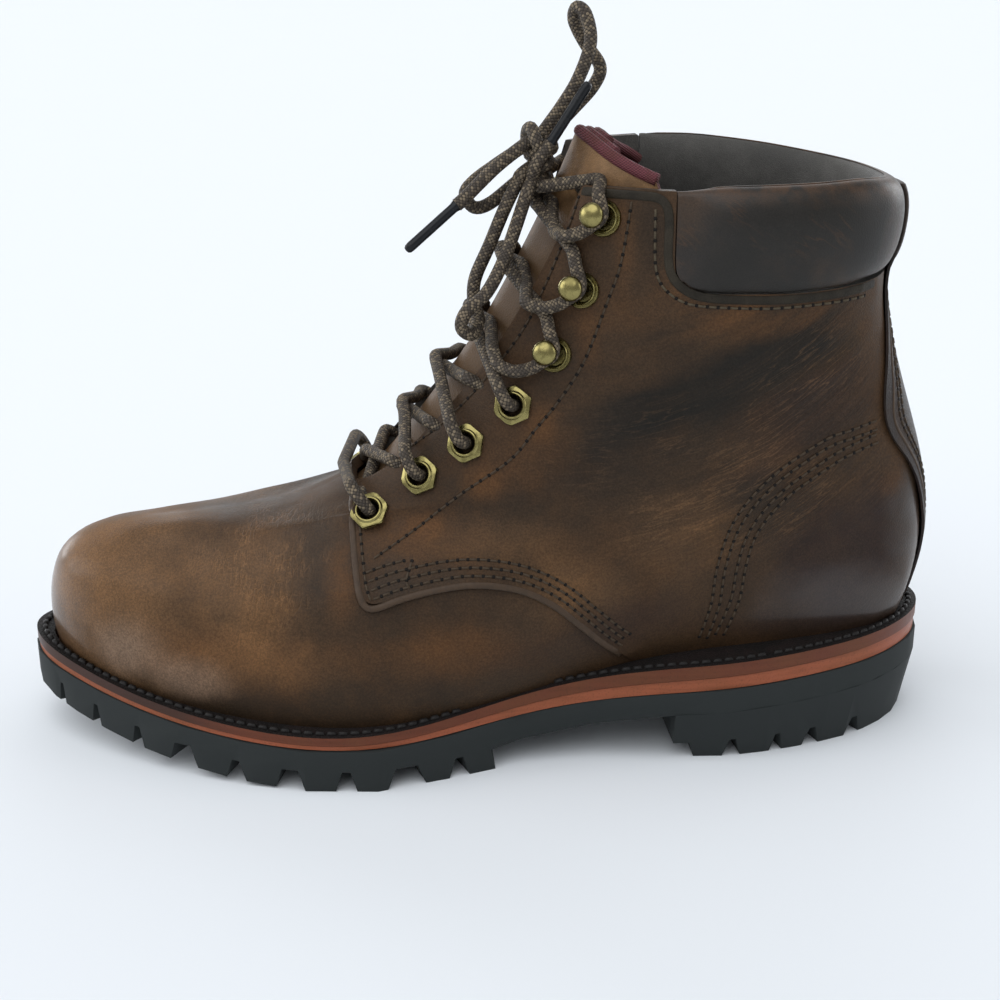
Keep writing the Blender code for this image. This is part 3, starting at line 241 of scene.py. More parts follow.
def shape(piece, kind, name, **settings):
    """Gives the active piece a modifier with its settings and applies it."""
    step = piece.modifiers.new(name, kind)
    for key, value in settings.items():
        setattr(step, key, value)
    bpy.ops.object.modifier_apply(modifier=step.name)


def join_pieces(first, others):
    """Joins pieces into the first one."""
    only(first)
    for other in others:
        other.select_set(True)
    bpy.ops.object.join()


def spots_of(data):
    """Places of a mesh's points, a row for each."""
    rows = np.empty(len(data.vertices) * 3)
    data.vertices.foreach_get("co", rows)
    return rows.reshape(-1, 3)


def faces_of(data, what):
    """Middles or normals of a mesh's faces, a row for each."""
    rows = np.empty(len(data.polygons) * 3)
    data.polygons.foreach_get(what, rows)
    return rows.reshape(-1, 3)


def give_second_finish(piece, chosen):
    """Gives the chosen faces of a piece its second finish and the others its first."""
    piece.data.polygons.foreach_set("material_index", np.array(chosen, np.int32))


def settle(piece, slot, *finishes):
    """Gives a piece its finishes and lets it ride on the boot."""
    piece.data.materials.clear()
    for finish in finishes:
        piece.data.materials.append(finish)
    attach(piece, BODY)
    return piece


def mesh_piece(name, points, faces, uv=None):
    """Smooth mesh object; uv holds one pair for each face corner."""
    data = bpy.data.meshes.new(name)
    data.from_pydata([tuple(p) for p in points], [], [tuple(int(i) for i in f) for f in faces])
    if uv is not None:
        layer = data.uv_layers.new(name="Lace")
        layer.uv.foreach_set("vector", np.array(uv, np.float32).ravel())
    data.update()
    piece = linked(name, data)
    bpy.ops.object.shade_smooth()
    return piece


def welded_copy(node, name):
    """Copy of a solid with its points welded, open for editing with all of it selected."""
    piece = linked(name, NODES[node].data.copy())
    bpy.ops.mesh.customdata_custom_splitnormals_clear()
    edit_all()
    bpy.ops.mesh.remove_doubles(threshold=WELD)
    return piece


def select_sharp(degrees):
    """Selects the edges sharper than an angle."""
    bpy.ops.mesh.select_mode(type="EDGE")
    bpy.ops.mesh.select_all(action="DESELECT")
    bpy.ops.mesh.edges_select_sharp(sharpness=math.radians(degrees))


def smooth_copy(node, name, crease_angle):
    """Welded copy of a solid, with its facets rounded off between its sharp edges."""
    piece = welded_copy(node, name)
    bpy.ops.mesh.tris_convert_to_quads(face_threshold=math.radians(40), shape_threshold=math.radians(60))
    select_sharp(crease_angle)
    bpy.ops.transform.edge_crease(value=1.0)
    stop_editing()
    shape(piece, "SUBSURF", "Rounding", levels=ROUNDING, render_levels=ROUNDING)
    smooth_within(40)
    return piece


def bevelled_copy(node, name, width, join):
    """Welded copy of a hard solid with its edges broken, but not where it joins another one."""
    piece = welded_copy(node, name)
    bpy.ops.mesh.dissolve_limited(angle_limit=math.radians(1.0))
    select_sharp(35)
    stop_editing()
    ends = [v.co for v in piece.data.vertices]
    broken = piece.data.attributes.new("bevel_weight_edge", "FLOAT", "EDGE")
    for edge in piece.data.edges:
        middle = 0.5 * (ends[edge.vertices[0]] + ends[edge.vertices[1]])
        broken.data[edge.index].value = 1.0 if edge.select and not join(middle) else 0.0
    for spot in piece.data.vertices:
        if node == "heel" and join(spot.co):
            spot.co.z += HEEL_GAP
    shape(piece, "BEVEL", "Broken edges", width=width, segments=2, limit_method="WEIGHT")
    smooth_within(32)
    return piece


def surface(piece):
    return BVHTree.FromObject(piece, bpy.context.evaluated_depsgraph_get())


def unit(vectors):
    """The same vectors, each of length one."""
    return vectors / np.maximum(np.linalg.norm(vectors, axis=-1, keepdims=True), 1e-9)


def between(at, run, rows):
    """Rows read off at places between the given ones."""
    return np.stack([np.interp(at, run, column) for column in rows.T], axis=-1)


def smooth_path(points, spacing):
    """Evenly spaced points on a smooth line through a few given ones."""
    p = np.array(points, float)
    ends = np.vstack([2 * p[0] - p[1], p, 2 * p[-1] - p[-2]])
    t = np.linspace(0, 1, 24, endpoint=False)[:, None]
    parts = []
    for a, b, c, d in zip(ends[:-3], ends[1:-2], ends[2:-1], ends[3:]):
        parts.append(0.5 * (2 * b + (c - a) * t + (2 * a - 5 * b + 4 * c - d) * t ** 2
                            + (3 * b - a - 3 * c + d) * t ** 3))
    line = np.vstack(parts + [p[-1:]])
    run = run_length(line)
    at = np.linspace(0, run[-1], max(2, int(round(run[-1] / spacing)) + 1))
    return between(at, run, line)


def run_length(line):
    steps = np.linalg.norm(np.diff(line, axis=0), axis=1)
    return np.concatenate([[0.0], np.cumsum(steps)])


def look(tree, x, z, side):
    """Where a look from one side meets the leather: the spot and the normal there."""
    spot, normal, _, _ = tree.ray_cast(Vector((x, side * FAR, z)), Vector((0, -side, 0)))
    return spot, normal


def laid(tree, starts, way):
    """Points and normals where looks from a row of starts meet the leather."""
    hits = [tree.ray_cast(Vector(start), Vector(way)) for start in starts]
    return tuple(np.array([hit[k] for hit in hits if hit[0] is not None]) for k in (0, 1))


def lay_on_side(tree, route, side):
    """A seam drawn from the side, laid on the leather: its points and the leather's normals."""
    path = smooth_path(np.array(route) * MM, SEAM_STEP)
    return laid(tree, [(x, side * FAR, z) for x, z in path], (0, -side, 0))


def lay_on_back(tree, route, side, inset=0.0):
    """A seam drawn from behind as y and z, laid on the leather."""
    path = smooth_path(np.array(route) * MM, SEAM_STEP)
    return laid(tree, [(FAR, side * (y - inset), z) for y, z in path], (-1, 0, 0))


def moved_left(line, distance):
    """A flat line moved sideways, to its left for a positive distance."""
    ahead = unit(np.gradient(line, axis=0))
    return line + distance * np.column_stack([-ahead[:, 1], ahead[:, 0]])


def inset_route(route, inset):
    """A seam drawn from the side moved in from the edge of its panel, in millimetres."""
    return moved_left(smooth_path(route, 1.0), inset)[::3]


def across_seam(points, normals):
    """Directions to the left of a seam, along the leather."""
    return unit(np.cross(normals, np.gradient(points, axis=0)))


def offset_line(line, distance):
    """The same seam moved sideways over the leather, to its left for a positive distance."""
    points, normals = line
    return points + distance * across_seam(points, normals), normals


def one_stitch():
    """Points and faces of one stitch of unit length and thickness, its ends thinned and turned down."""
    bpy.ops.object.select_all(action="DESELECT")
    bpy.ops.mesh.primitive_cylinder_add(vertices=6, radius=0.5, depth=1.0, rotation=(0, math.pi / 2, 0))
    piece = bpy.context.object
    bpy.ops.object.transform_apply(location=True, rotation=True, scale=True)
    bpy.ops.object.mode_set(mode="EDIT")
    bpy.ops.mesh.select_mode(type="VERT")
    for cut in (-0.3, 0.3):
        bpy.ops.mesh.select_all(action="SELECT")
        bpy.ops.mesh.bisect(plane_co=(cut, 0, 0), plane_no=(1, 0, 0))
    bpy.ops.mesh.select_all(action="DESELECT")
    stop_editing()
    for spot in piece.data.vertices:
        spot.select = abs(spot.co.x) > 0.4
    bpy.ops.object.mode_set(mode="EDIT")
    bpy.ops.transform.resize(value=(1.0, 0.45, 0.45), center_override=(0, 0, 0))
    bpy.ops.transform.translate(value=(0, 0, -0.42))
    bpy.ops.mesh.select_all(action="SELECT")
    bpy.ops.transform.translate(value=(0, 0, 0.15))
    stop_editing()
    points = np.array([v.co for v in piece.data.vertices])
    faces = [list(f.vertices) for f in piece.data.polygons]
    bpy.ops.object.delete()
    return points, faces


def stitch_rows(name, lines, length, pitch, start, width, rise):
    """Rows of one stitch copied along seams from a start on, its ends sunk into the leather."""
    pattern, pattern_faces = one_stitch()
    points, faces = [], []
    for spots, normals in lines:
        run = run_length(spots)
        for begin in np.arange(start, run[-1] - length, pitch):
            near, spot, far = between(begin + length * np.array([0.0, 0.5, 1.0]), run, spots)
            ahead = unit(far - near)
            normal = between(begin + 0.5 * length, run, normals)
            normal = unit(normal - ahead * (normal @ ahead))
            base = len(points)
            turn = np.array([length * ahead, width * np.cross(normal, ahead), rise * normal])
            points += list(spot + pattern @ turn)
            faces += [[base + i for i in face] for face in pattern_faces]
    return mesh_piece(name, points, faces)


def strip_on(name, lines, half_width, height, sink=0.3):
    """Rounded strips of leather lying along seams; half_width may be a list from start to end."""
    arc = np.linspace(0, math.pi, 7)
    points, faces = [], []
    for spots, normals in lines:
        across = across_seam(spots, normals)
        share = np.linspace(0, 1, len(spots))
        half = np.interp(share, np.linspace(0, 1, len(half_width)), half_width)
        fade = np.minimum(1.0, np.minimum(share, 1 - share) * 40)
        base = len(points)
        columns = len(arc) + 1
        for spot, normal, side, reach, full in zip(spots, normals, across, half, fade):
            for turn in arc:
                rise = height * full * math.sin(turn) ** 0.5
                points.append(spot + side * reach * math.cos(turn) + normal * (rise - sink * height))
            points.append(spot - normal * height)
        for i in range(len(spots) - 1):
            for j in range(columns):
                a, b = base + i * columns + j, base + i * columns + (j + 1) % columns
                faces.append((a, b, b + columns, a + columns))
        faces.append([base + j for j in reversed(range(columns))])
        faces.append([base + (len(spots) - 1) * columns + j for j in range(columns)])
    piece = mesh_piece(name, points, faces)
    edit_all()
    bpy.ops.mesh.normals_make_consistent(inside=False)
    stop_editing()
    return piece


def tube(name, path, radius, sides=12):
    """Round cord along a path, with a map that runs round it and along it in diameters."""
    path = np.array(path)
    ahead = unit(np.gradient(path, axis=0))
    across = np.cross(ahead[0], (0.31, 0.87, 0.38))
    run = run_length(path) / (2 * radius)
    points, faces, uv = [], [], []
    for spot, along in zip(path, ahead):
        across = unit(across - along * (across @ along))
        other = np.cross(along, across)
        for j in range(sides):
            turn = 2 * math.pi * j / sides
            points.append(spot + radius * (math.cos(turn) * across + math.sin(turn) * other))
    for i in range(len(path) - 1):
        for j in range(sides):
            a, b = i * sides + j, i * sides + (j + 1) % sides
            faces.append((a, b, b + sides, a + sides))
            uv += [(j / sides, run[i]), ((j + 1) / sides, run[i]),
                   ((j + 1) / sides, run[i + 1]), (j / sides, run[i + 1])]
    faces.append(list(reversed(range(sides))))
    faces.append([(len(path) - 1) * sides + j for j in range(sides)])
    uv += [(0.5, run[0])] * sides + [(0.5, run[-1])] * sides
    return mesh_piece(name, points, faces, uv)


def spun(name, profile, steps):
    """Solid spun round the z axis from its outline of radii and heights in millimetres."""
    data = bpy.data.meshes.new(name)
    outline = [(r * MM, 0.0, h * MM) for r, h in profile]
    data.from_pydata(outline, [(i, i + 1) for i in range(len(outline) - 1)], [])
    piece = linked(name, data)
    edit_all()
    bpy.ops.mesh.spin(steps=steps, angle=2 * math.pi, center=(0, 0, 0), axis=(0, 0, 1))
    bpy.ops.mesh.select_all(action="SELECT")
    bpy.ops.mesh.remove_doubles(threshold=0.001 * MM)
    bpy.ops.mesh.normals_make_consistent(inside=False)
    stop_editing()
    smooth_within(40)
    return piece


def placed(pattern, name, matrix):
    """Copy of a finished pattern with its own mesh, set in its place."""
    piece = linked(name, pattern.data.copy())
    piece.data.transform(matrix)
    return piece


def seat(spot, normal, lean):
    """Matrix that stands a fitting on the leather, its x axis along lean."""
    z = Vector(normal).normalized()
    x = (Vector(lean) - z * z.dot(Vector(lean))).normalized()
    y = z.cross(x)
    return Matrix.Translation(spot) @ Matrix((x, y, z)).transposed().to_4x4()


class Nodes:
    """Short way to add and link shader nodes in one tree."""

    def __init__(self, tree):
        self.tree = tree

    def add(self, kind, **settings):
        node = self.tree.nodes.new(kind)
        for key, value in settings.items():
            setattr(node, key, value)
        return node

    def put(self, socket, value):
        if isinstance(value, bpy.types.NodeSocket):
            self.tree.links.new(value, socket)
        else:
            socket.default_value = value

    def math(self, operation, first, *others):
        """One value worked on alone, or several put together one after the other."""
        for other in others or (0.0,):
            node = self.add("ShaderNodeMath", operation=operation)
            self.put(node.inputs[0], first)
            self.put(node.inputs[1], other)
            first = node.outputs[0]
        return first

    def times(self, *values):
        return self.math("MULTIPLY", *values)

    def plus(self, *values):
        return self.math("ADD", *values)

    def minus(self, first, second):
        return self.math("SUBTRACT", first, second)

    def most(self, *values):
        return self.math("MAXIMUM", *values)

    def from_base(self, base, value, share):
        """A base with a share of a value on top."""
        return self.plus(base, self.times(value, share))

    def split(self, vector):
        """The coordinates of a vector by their letters."""
        node = self.add("ShaderNodeSeparateXYZ")
        self.put(node.inputs[0], vector)
        return node.outputs

    def joined(self, *coordinates):
        """A vector of up to three coordinates."""
        node = self.add("ShaderNodeCombineXYZ")
        for socket, value in zip(node.inputs, coordinates):
            self.put(socket, value)
        return node.outputs["Vector"]

    def vector(self, operation, a, b=(0.0, 0.0, 0.0), scale=None):
        node = self.add("ShaderNodeVectorMath", operation=operation)
        self.put(node.inputs[0], a)
        if operation == "SCALE":
            self.put(node.inputs["Scale"], scale)
        elif operation not in ("LENGTH", "ABSOLUTE"):
            self.put(node.inputs[1], b)
        return node.outputs["Value"] if operation in ("LENGTH", "DOT_PRODUCT") else node.outputs["Vector"]

    def spread(self, value, low, high, to_low=0.0, to_high=1.0):
        node = self.add("ShaderNodeMapRange", interpolation_type="SMOOTHSTEP")
        for name, item in (("Value", value), ("From Min", low), ("From Max", high),
                           ("To Min", to_low), ("To Max", to_high)):
            self.put(node.inputs[name], item)
        return node.outputs["Result"]

    def noise(self, vector, scale, detail=3.0, roughness=0.55):
        node = self.add("ShaderNodeTexNoise")
        for name, item in (("Vector", vector), ("Scale", scale), ("Detail", detail),
                           ("Roughness", roughness)):
            self.put(node.inputs[name], item)
        return node.outputs["Fac"]

    def cells(self, vector, scale, feature="F1"):
        node = self.add("ShaderNodeTexVoronoi", feature=feature)
        self.put(node.inputs["Vector"], vector)
        self.put(node.inputs["Scale"], scale)
        return node

    def blend(self, share, under, over, kind="MIX"):
        node = self.add("ShaderNodeMix", data_type="RGBA", blend_type=kind)
        self.put(node.inputs[0], share)
        self.put(node.inputs[6], tone(under))
        self.put(node.inputs[7], tone(over))
        return node.outputs[2]

    def dimmed(self, colour, amount):
        """A colour multiplied by a value."""
        grey = self.vector("SCALE", (1.0, 1.0, 1.0), scale=amount)
        return self.blend(1.0, colour, grey, "MULTIPLY")

    def group(self, name, **values):
        node = self.add("ShaderNodeGroup")
        node.node_tree = bpy.data.node_groups[name]
        for key, value in values.items():
            self.put(node.inputs[key.replace("_", " ")], value)
        return node.outputs


def tone(value):
    """A colour property as the four numbers that a colour socket takes."""
    if isinstance(value, bpy.types.NodeSocket):
        return value
    return (*value[:3], 1.0)


def node_group(name, inputs, outputs):
    """Empty shader group with named sockets; gives its nodes, its input sockets and its output node."""
    tree = bpy.data.node_groups.new(name, "ShaderNodeTree")
    for label, kind, default in inputs:
        socket = tree.interface.new_socket(name=label, in_out="INPUT", socket_type=kind)
        if default is not None:
            socket.default_value = default
    for label, kind in outputs:
        tree.interface.new_socket(name=label, in_out="OUTPUT", socket_type=kind)
    nodes = Nodes(tree)
    return nodes, nodes.add("NodeGroupInput").outputs, nodes.add("NodeGroupOutput").inputs


VALUE, VECTOR = "NodeSocketFloat", "NodeSocketVector"


def build_grain_group():
    """Pebbled leather grain: height, and painted shade in the narrow valleys between the pebbles."""
    n, given, out = node_group("Hide Grain", (("Vector", VECTOR, None), ("Pebble", VALUE, 0.9 * MM)),
                               (("Height", VALUE), ("Valley Shade", VALUE)))
    scale = n.math("DIVIDE", 1.0, given["Pebble"])
    warp = n.noise(given["Vector"], n.times(scale, 0.6), 2.0)
    stray = n.vector("SCALE", warp, scale=n.times(given["Pebble"], 0.8))
    moved = n.vector("ADD", given["Vector"], stray)
    edge = n.cells(moved, scale, "DISTANCE_TO_EDGE").outputs["Distance"]
    pebble = n.spread(edge, 0.0, 0.30)
    fine = n.noise(given["Vector"], n.times(scale, 3.0), 2.0)
    n.put(out["Height"], n.plus(pebble, n.times(fine, 0.35)))
    n.put(out["Valley Shade"], n.minus(1.0, n.spread(edge, 0.0, 0.10)))


def build_mottle_group():
    """Uneven oil and dye: broad clouds, smaller blotches and fine flecks, each from 0 to 1."""
    n, given, out = node_group("Oil Mottle", (("Vector", VECTOR, None), ("Patch", VALUE, 0.03)),
                               (("Cloud", VALUE), ("Blotch", VALUE), ("Fleck", VALUE)))
    scale = n.math("DIVIDE", 1.0, given["Patch"])
    n.put(out["Cloud"], n.spread(n.noise(given["Vector"], scale, 5.0, 0.60), 0.36, 0.64))
    shifted = n.vector("ADD", given["Vector"], (0.37, 0.11, 0.53))
    n.put(out["Blotch"], n.spread(n.noise(shifted, n.times(scale, 3.2), 4.0, 0.62), 0.40, 0.66))
    n.put(out["Fleck"], n.spread(n.noise(shifted, n.times(scale, 95.0), 3.0, 0.7), 0.34, 0.66))


def build_zone_group():
    """Soft oval region of the boot, the same on both sides: 1 in the middle, 0 outside."""
    n, given, out = node_group("Zone", (("Vector", VECTOR, None), ("Wander", VALUE, 0.5),
                                        ("Centre", VECTOR, (0, 0, 0)),
                                        ("Reach", VECTOR, (0.03, 0.03, 0.03)), ("Soft", VALUE, 0.9)),
                               (("Mask", VALUE),))
    local = n.vector("DIVIDE", n.vector("SUBTRACT", given["Vector"], given["Centre"]), given["Reach"])
    stray = n.times(n.minus(given["Wander"], 0.5), 0.9)
    far = n.plus(n.vector("LENGTH", local), stray)
    n.put(out["Mask"], n.spread(far, n.minus(1.0, given["Soft"]), 1.0, 1.0, 0.0))


def build_crease_group():
    """Fine wrinkles drawn out one way: thin lines, and a height with soft ridges between them."""
    n, given, out = node_group("Fine Creases", (("Vector", VECTOR, None), ("Tilt", VALUE, 0.5),
                                                ("Long", VALUE, 0.02), ("Short", VALUE, 0.003)),
                               (("Line", VALUE), ("Height", VALUE)))
    turn = n.add("ShaderNodeVectorRotate", rotation_type="Y_AXIS")
    n.put(turn.inputs["Vector"], given["Vector"])
    n.put(turn.inputs["Angle"], given["Tilt"])
    reach = n.joined(given["Long"], given["Long"], given["Short"])
    drawn = n.vector("DIVIDE", turn.outputs["Vector"], reach)
    field = n.noise(drawn, 1.0, 2.5, 0.55)
    off = n.math("ABSOLUTE", n.minus(field, 0.5))
    n.put(out["Line"], n.minus(1.0, n.spread(off, 0.0, 0.034)))
    n.put(out["Height"], n.spread(off, 0.0, 0.16))


def build_groups():
    build_grain_group()
    build_mottle_group()
    build_zone_group()
    build_crease_group()


def new_finish(name, gloss=0.3):
    """Material with its nodes, its shader and its object coordinates."""
    material = bpy.data.materials.new(name)
    material.use_nodes = True
    nodes = Nodes(material.node_tree)
    shader = material.node_tree.nodes["Principled BSDF"]
    shader.inputs["Specular IOR Level"].default_value = gloss
    place = nodes.add("ShaderNodeTexCoord").outputs["Object"]
    return material, nodes, shader, place


def bump(nodes, shader, height, depth, strength=1.0, onto=None):
    node = nodes.add("ShaderNodeBump")
    node.inputs["Strength"].default_value = strength
    node.inputs["Distance"].default_value = depth
    nodes.put(node.inputs["Height"], height)
    if onto is not None:
        nodes.put(node.inputs["Normal"], onto)
    nodes.put(shader.inputs["Normal"], node.outputs["Normal"])
    return node.outputs["Normal"]


def dress(nodes, shader, colour, rough):
    """Gives a shader its colour and its roughness."""
    nodes.put(shader.inputs["Base Color"], colour)
    nodes.put(shader.inputs["Roughness"], rough)


def toned(colour, factor):
    """A colour made darker or lighter."""
    return [factor * v for v in colour]


# Bands and wrinkles of the shaft rise towards the heel in an arc: its start and its bend per metre.
ARC_START, ARC_BEND, BAND_SLOPE = 25.0, 4.8, 0.45
STREAK_REACH = (0.050, 0.050, 0.0075)
# Regions of the upper: what they turn to, how much, the middle and the reach in millimetres.
UPPER_ZONES = (
    ("hide_tan", 0.95, (-128, 0, 62), (62, 80, 50)),
    ("hide_rust", 0.85, (-96, 40, 40), (66, 24, 17)),
    ("hide_tan", 0.35, (-80, 44, 40), (40, 22, 14)),
    ("hide_tan", 0.66, (-80, 30, 62), (28, 34, 32)),
    ("hide_rust", 0.60, (-17, 44, 43), (38, 22, 14)),
    ("hide_dark", 0.38, (-84, 10, 86), (30, 34, 14)),
    ("hide_dark", 0.45, (-56, 28, 78), (14, 24, 18)),
    ("hide_rust", 0.80, (-48, 34, 64), (9, 20, 16)),
    ("hide_rust", 0.45, (-22, 34, 79), (36, 22, 14)),
    ("hide_rust", 0.35, (10, 30, 108), (30, 24, 24)),
    ("hide_dark", 0.70, (50, 36, 178), (8, 24, 24)),
    ("hide_tan", 0.50, (26, 40, 61), (28, 22, 16)),
    ("hide_tan", 0.34, (2, 40, 79), (30, 22, 12)),
    ("hide_tan", 0.42, (66, 38, 80), (34, 24, 22)),
    ("hide_plum", 0.30, (24, 42, 40), (44, 22, 10)),
    ("hide_plum", 0.95, (120, 26, 62), (46, 40, 46)),
    ("hide", 0.60, (91, 34, 66), (8, 30, 18)),
    ("hide", 0.70, (98, 32, 84), (11, 30, 11)),
    ("hide", 0.70, (110, 30, 96), (15, 30, 9)),
    ("hide_rust", 0.35, (134, 22, 93), (8, 20, 7)),
    ("hide_rust", 0.55, (-21, 34, 83), (11, 20, 6)),
    ("hide_rust", 0.60, (-2, 34, 97), (10, 20, 9)),
    ("hide_rust", 0.60, (17, 34, 117), (8, 20, 11)),
    ("hide_rust", 0.50, (32, 36, 142), (6, 20, 14)),
    ("hide_rust", 0.50, (42, 36, 170), (5, 20, 18)),
    ("hide_plum", 0.60, (52, 44, 50), (36, 24, 12)),
    ("hide_plum", 0.60, (110, 34, 44), (52, 44, 9)),
    ("hide_tan", 0.30, (84, 36, 106), (20, 24, 13)),
    # The last two regions paint a reflection into the colour: the greyed sheen low on the toe.
    ("hide_pale", 0.70, (-124, 28, 40), (24, 20, 15)),
    ("hide_pale", 0.55, (-100, 36, 33), (24, 16, 11)),
)


def leather_upper():
    """Oiled brown hide with pulled tan areas, dark patches, creases and pebbled grain."""
    material, n, shader, place = new_finish("oiled_upper_leather", 0.16)
    c = colours()
    axes = n.split(place)
    fold = n.joined(axes["X"], n.math("ABSOLUTE", axes["Y"]), axes["Z"])
    wander = n.noise(fold, 42.0, 3.0, 0.6)

    def zone(centre, reach, soft=0.9):
        return n.group("Zone", Vector=fold, Wander=wander, Centre=[v * MM for v in centre],
                       Reach=[v * MM for v in reach], Soft=soft)["Mask"]

    mottle = n.group("Oil Mottle", Vector=place, Patch=0.070)
    colour = n.blend(n.from_base(0.45, mottle["Cloud"], 0.50), c.hide_dark, c.hide)
    colour = n.blend(n.times(mottle["Blotch"], 0.16), colour, c.hide_rust)
    uneven = n.from_base(0.68, mottle["Blotch"], 0.32)
    for name, share, centre, reach in UPPER_ZONES:
        mask = n.times(zone(centre, reach), uneven, share)
        colour = n.blend(mask, colour, getattr(c, name))

    past = n.most(n.minus(axes["X"], ARC_START * MM), 0.0)
    arc = n.minus(axes["Z"], n.times(past, past, ARC_BEND))
    bent = n.joined(axes["X"], axes["Y"], arc)
    drawn = n.vector("DIVIDE", bent, STREAK_REACH)
    streak = n.spread(n.noise(drawn, 1.0, 3.0, 0.55), 0.38, 0.64)
    shaft = zone((72, 38, 116), (72, 44, 58), 0.45)
    lean = n.minus(axes["Z"], n.times(axes["X"], BAND_SLOPE))
    stray = n.plus(lean, n.times(n.minus(wander, 0.5), 0.016))
    band = n.times(n.spread(stray, 0.080, 0.093), n.spread(stray, 0.112, 0.101))
    band = n.times(band, n.spread(axes["X"], 0.020, 0.052, 0.55, 1.0))
    band = n.times(band, shaft, n.from_base(0.78, streak, 0.20))
    colour = n.blend(band, colour, c.hide_dark)
    below = n.times(n.spread(stray, 0.056, 0.066), n.spread(stray, 0.088, 0.080))
    below = n.times(below, shaft, n.spread(axes["X"], 0.066, 0.100))
    colour = n.blend(n.times(below, 0.50), colour, c.hide_plum)
    above = n.times(n.spread(axes["Z"], 0.142, 0.152), n.times(shaft, streak))
    colour = n.blend(n.times(above, 0.45), colour, c.hide_rust)
    colour = n.blend(n.times(shaft, n.minus(1.0, streak), 0.30), colour, c.hide_dark)

    vamp = zone((-72, 20, 66), (34, 40, 34), 0.6)
    wavy = n.vector("ADD", place, n.vector("SCALE", n.noise(place, 260.0, 2.0), scale=3.0 * MM))
    long_cells = n.vector("MULTIPLY", wavy, (1.0, 0.45, 0.40))
    crackle = n.cells(long_cells, 430.0, "DISTANCE_TO_EDGE").outputs["Distance"]
    crack_line = n.minus(1.0, n.spread(crackle, 0.0, 0.10))
    broken = n.spread(n.noise(place, 120.0, 2.0), 0.42, 0.60)
    crack = n.times(crack_line, vamp, n.times(broken, 0.70))
    flex = n.group("Fine Creases", Vector=place, Tilt=math.radians(80), Long=0.013, Short=0.0019)
    flex_line = n.times(flex["Line"], vamp, broken)
    wrinkle = n.group("Fine Creases", Vector=bent, Tilt=0.0, Long=0.018, Short=0.0024)
    worn = n.times(n.spread(n.noise(place, 38.0, 2.0), 0.32, 0.58), n.spread(arc, 0.128, 0.114))
    nearer = n.spread(axes["X"], 0.02, 0.11, 0.55, 1.0)
    shaft_line = n.times(wrinkle["Line"], shaft, n.times(worn, nearer))
    lines = n.most(crack, flex_line, shaft_line)
    colour = n.blend(n.times(lines, 0.12), colour, c.hide_tan)
    flecked = n.from_base(0.78, mottle["Fleck"], 0.44)
    flecked = n.times(flecked, n.from_base(1.0, lines, 0.45))
    colour = n.dimmed(colour, flecked)
    grain = n.group("Hide Grain", Vector=place, Pebble=sizes().pebble)
    # Painted shade in the valleys between the pebbles.
    colour = n.blend(n.times(grain["Valley Shade"], 0.22), colour, c.hide_dark)
    # Darker towards the bottom of the upper, from behind the toe back to the heel.
    low_darkening = n.times(n.spread(axes["Z"], 0.046, 0.030), n.spread(n.noise(place, 60.0), 0.35, 0.6))
    low_darkening = n.times(low_darkening, n.spread(axes["X"], -0.110, -0.070))
    colour = n.blend(n.times(low_darkening, 0.40), colour, c.hide_dark)
    rough = n.from_base(0.42, mottle["Blotch"], 0.14)
    dress(n, shader, colour, n.from_base(rough, mottle["Fleck"], 0.08))
    heel = n.most(n.times(zone((122, 26, 48), (48, 40, 22)), 0.75), zone((154, 0, 68), (26, 60, 46)))
    polished = n.most(heel, zone((-152, 0, 50), (32, 60, 34)))
    satin = n.times(zone((-84, 0, 84), (66, 60, 34)), 0.16)
    n.put(shader.inputs["Coat Weight"], n.most(n.times(polished, 0.95), satin))
    shader.inputs["Coat Roughness"].default_value = 0.21
    relief = n.minus(1.0, n.times(crack, 0.6))
    folds = n.plus(n.times(flex["Height"], vamp, 0.30),
                   n.times(wrinkle["Height"], shaft, n.times(nearer, 0.40)))
    sway = n.times(n.noise(place, 34.0, 1.5), 3.0)
    broad = bump(n, shader, n.plus(relief, n.plus(folds, sway)), 0.40 * MM, 0.8)
    bump(n, shader, grain["Height"], 0.08 * MM, 0.6, broad)
    return material


def leather_plain(name, middle, dark, light, patch, rough, pebble, depth=0.09, foot=None):
    """Hide of one trim piece, mottled between a dark and a light tone; foot is its colour low down."""
    material, n, shader, place = new_finish(name, 0.2)
    mottle = n.group("Oil Mottle", Vector=place, Patch=patch)
    colour = n.blend(mottle["Cloud"], dark, middle)
    colour = n.blend(n.times(mottle["Blotch"], 0.40), colour, light)
    if foot:
        uneven = n.times(n.minus(mottle["Blotch"], 0.5), 12 * MM)
        colour = n.blend(n.spread(n.plus(n.split(place)["Z"], uneven), 0.196, 0.168), colour, foot)
    grain = n.group("Hide Grain", Vector=place, Pebble=pebble)
    # Painted shade in the valleys between the pebbles.
    colour = n.blend(n.times(grain["Valley Shade"], 0.22), colour, dark)
    flecked = n.from_base(0.84, mottle["Fleck"], 0.32)
    colour = n.dimmed(colour, flecked)
    dress(n, shader, colour, n.from_base(rough, mottle["Fleck"], 0.14))
    broad = bump(n, shader, n.noise(place, 1.0 / patch, 1.5), 0.8 * MM, 0.7)
    bump(n, shader, grain["Height"], depth * MM, 0.6, broad)
    return material


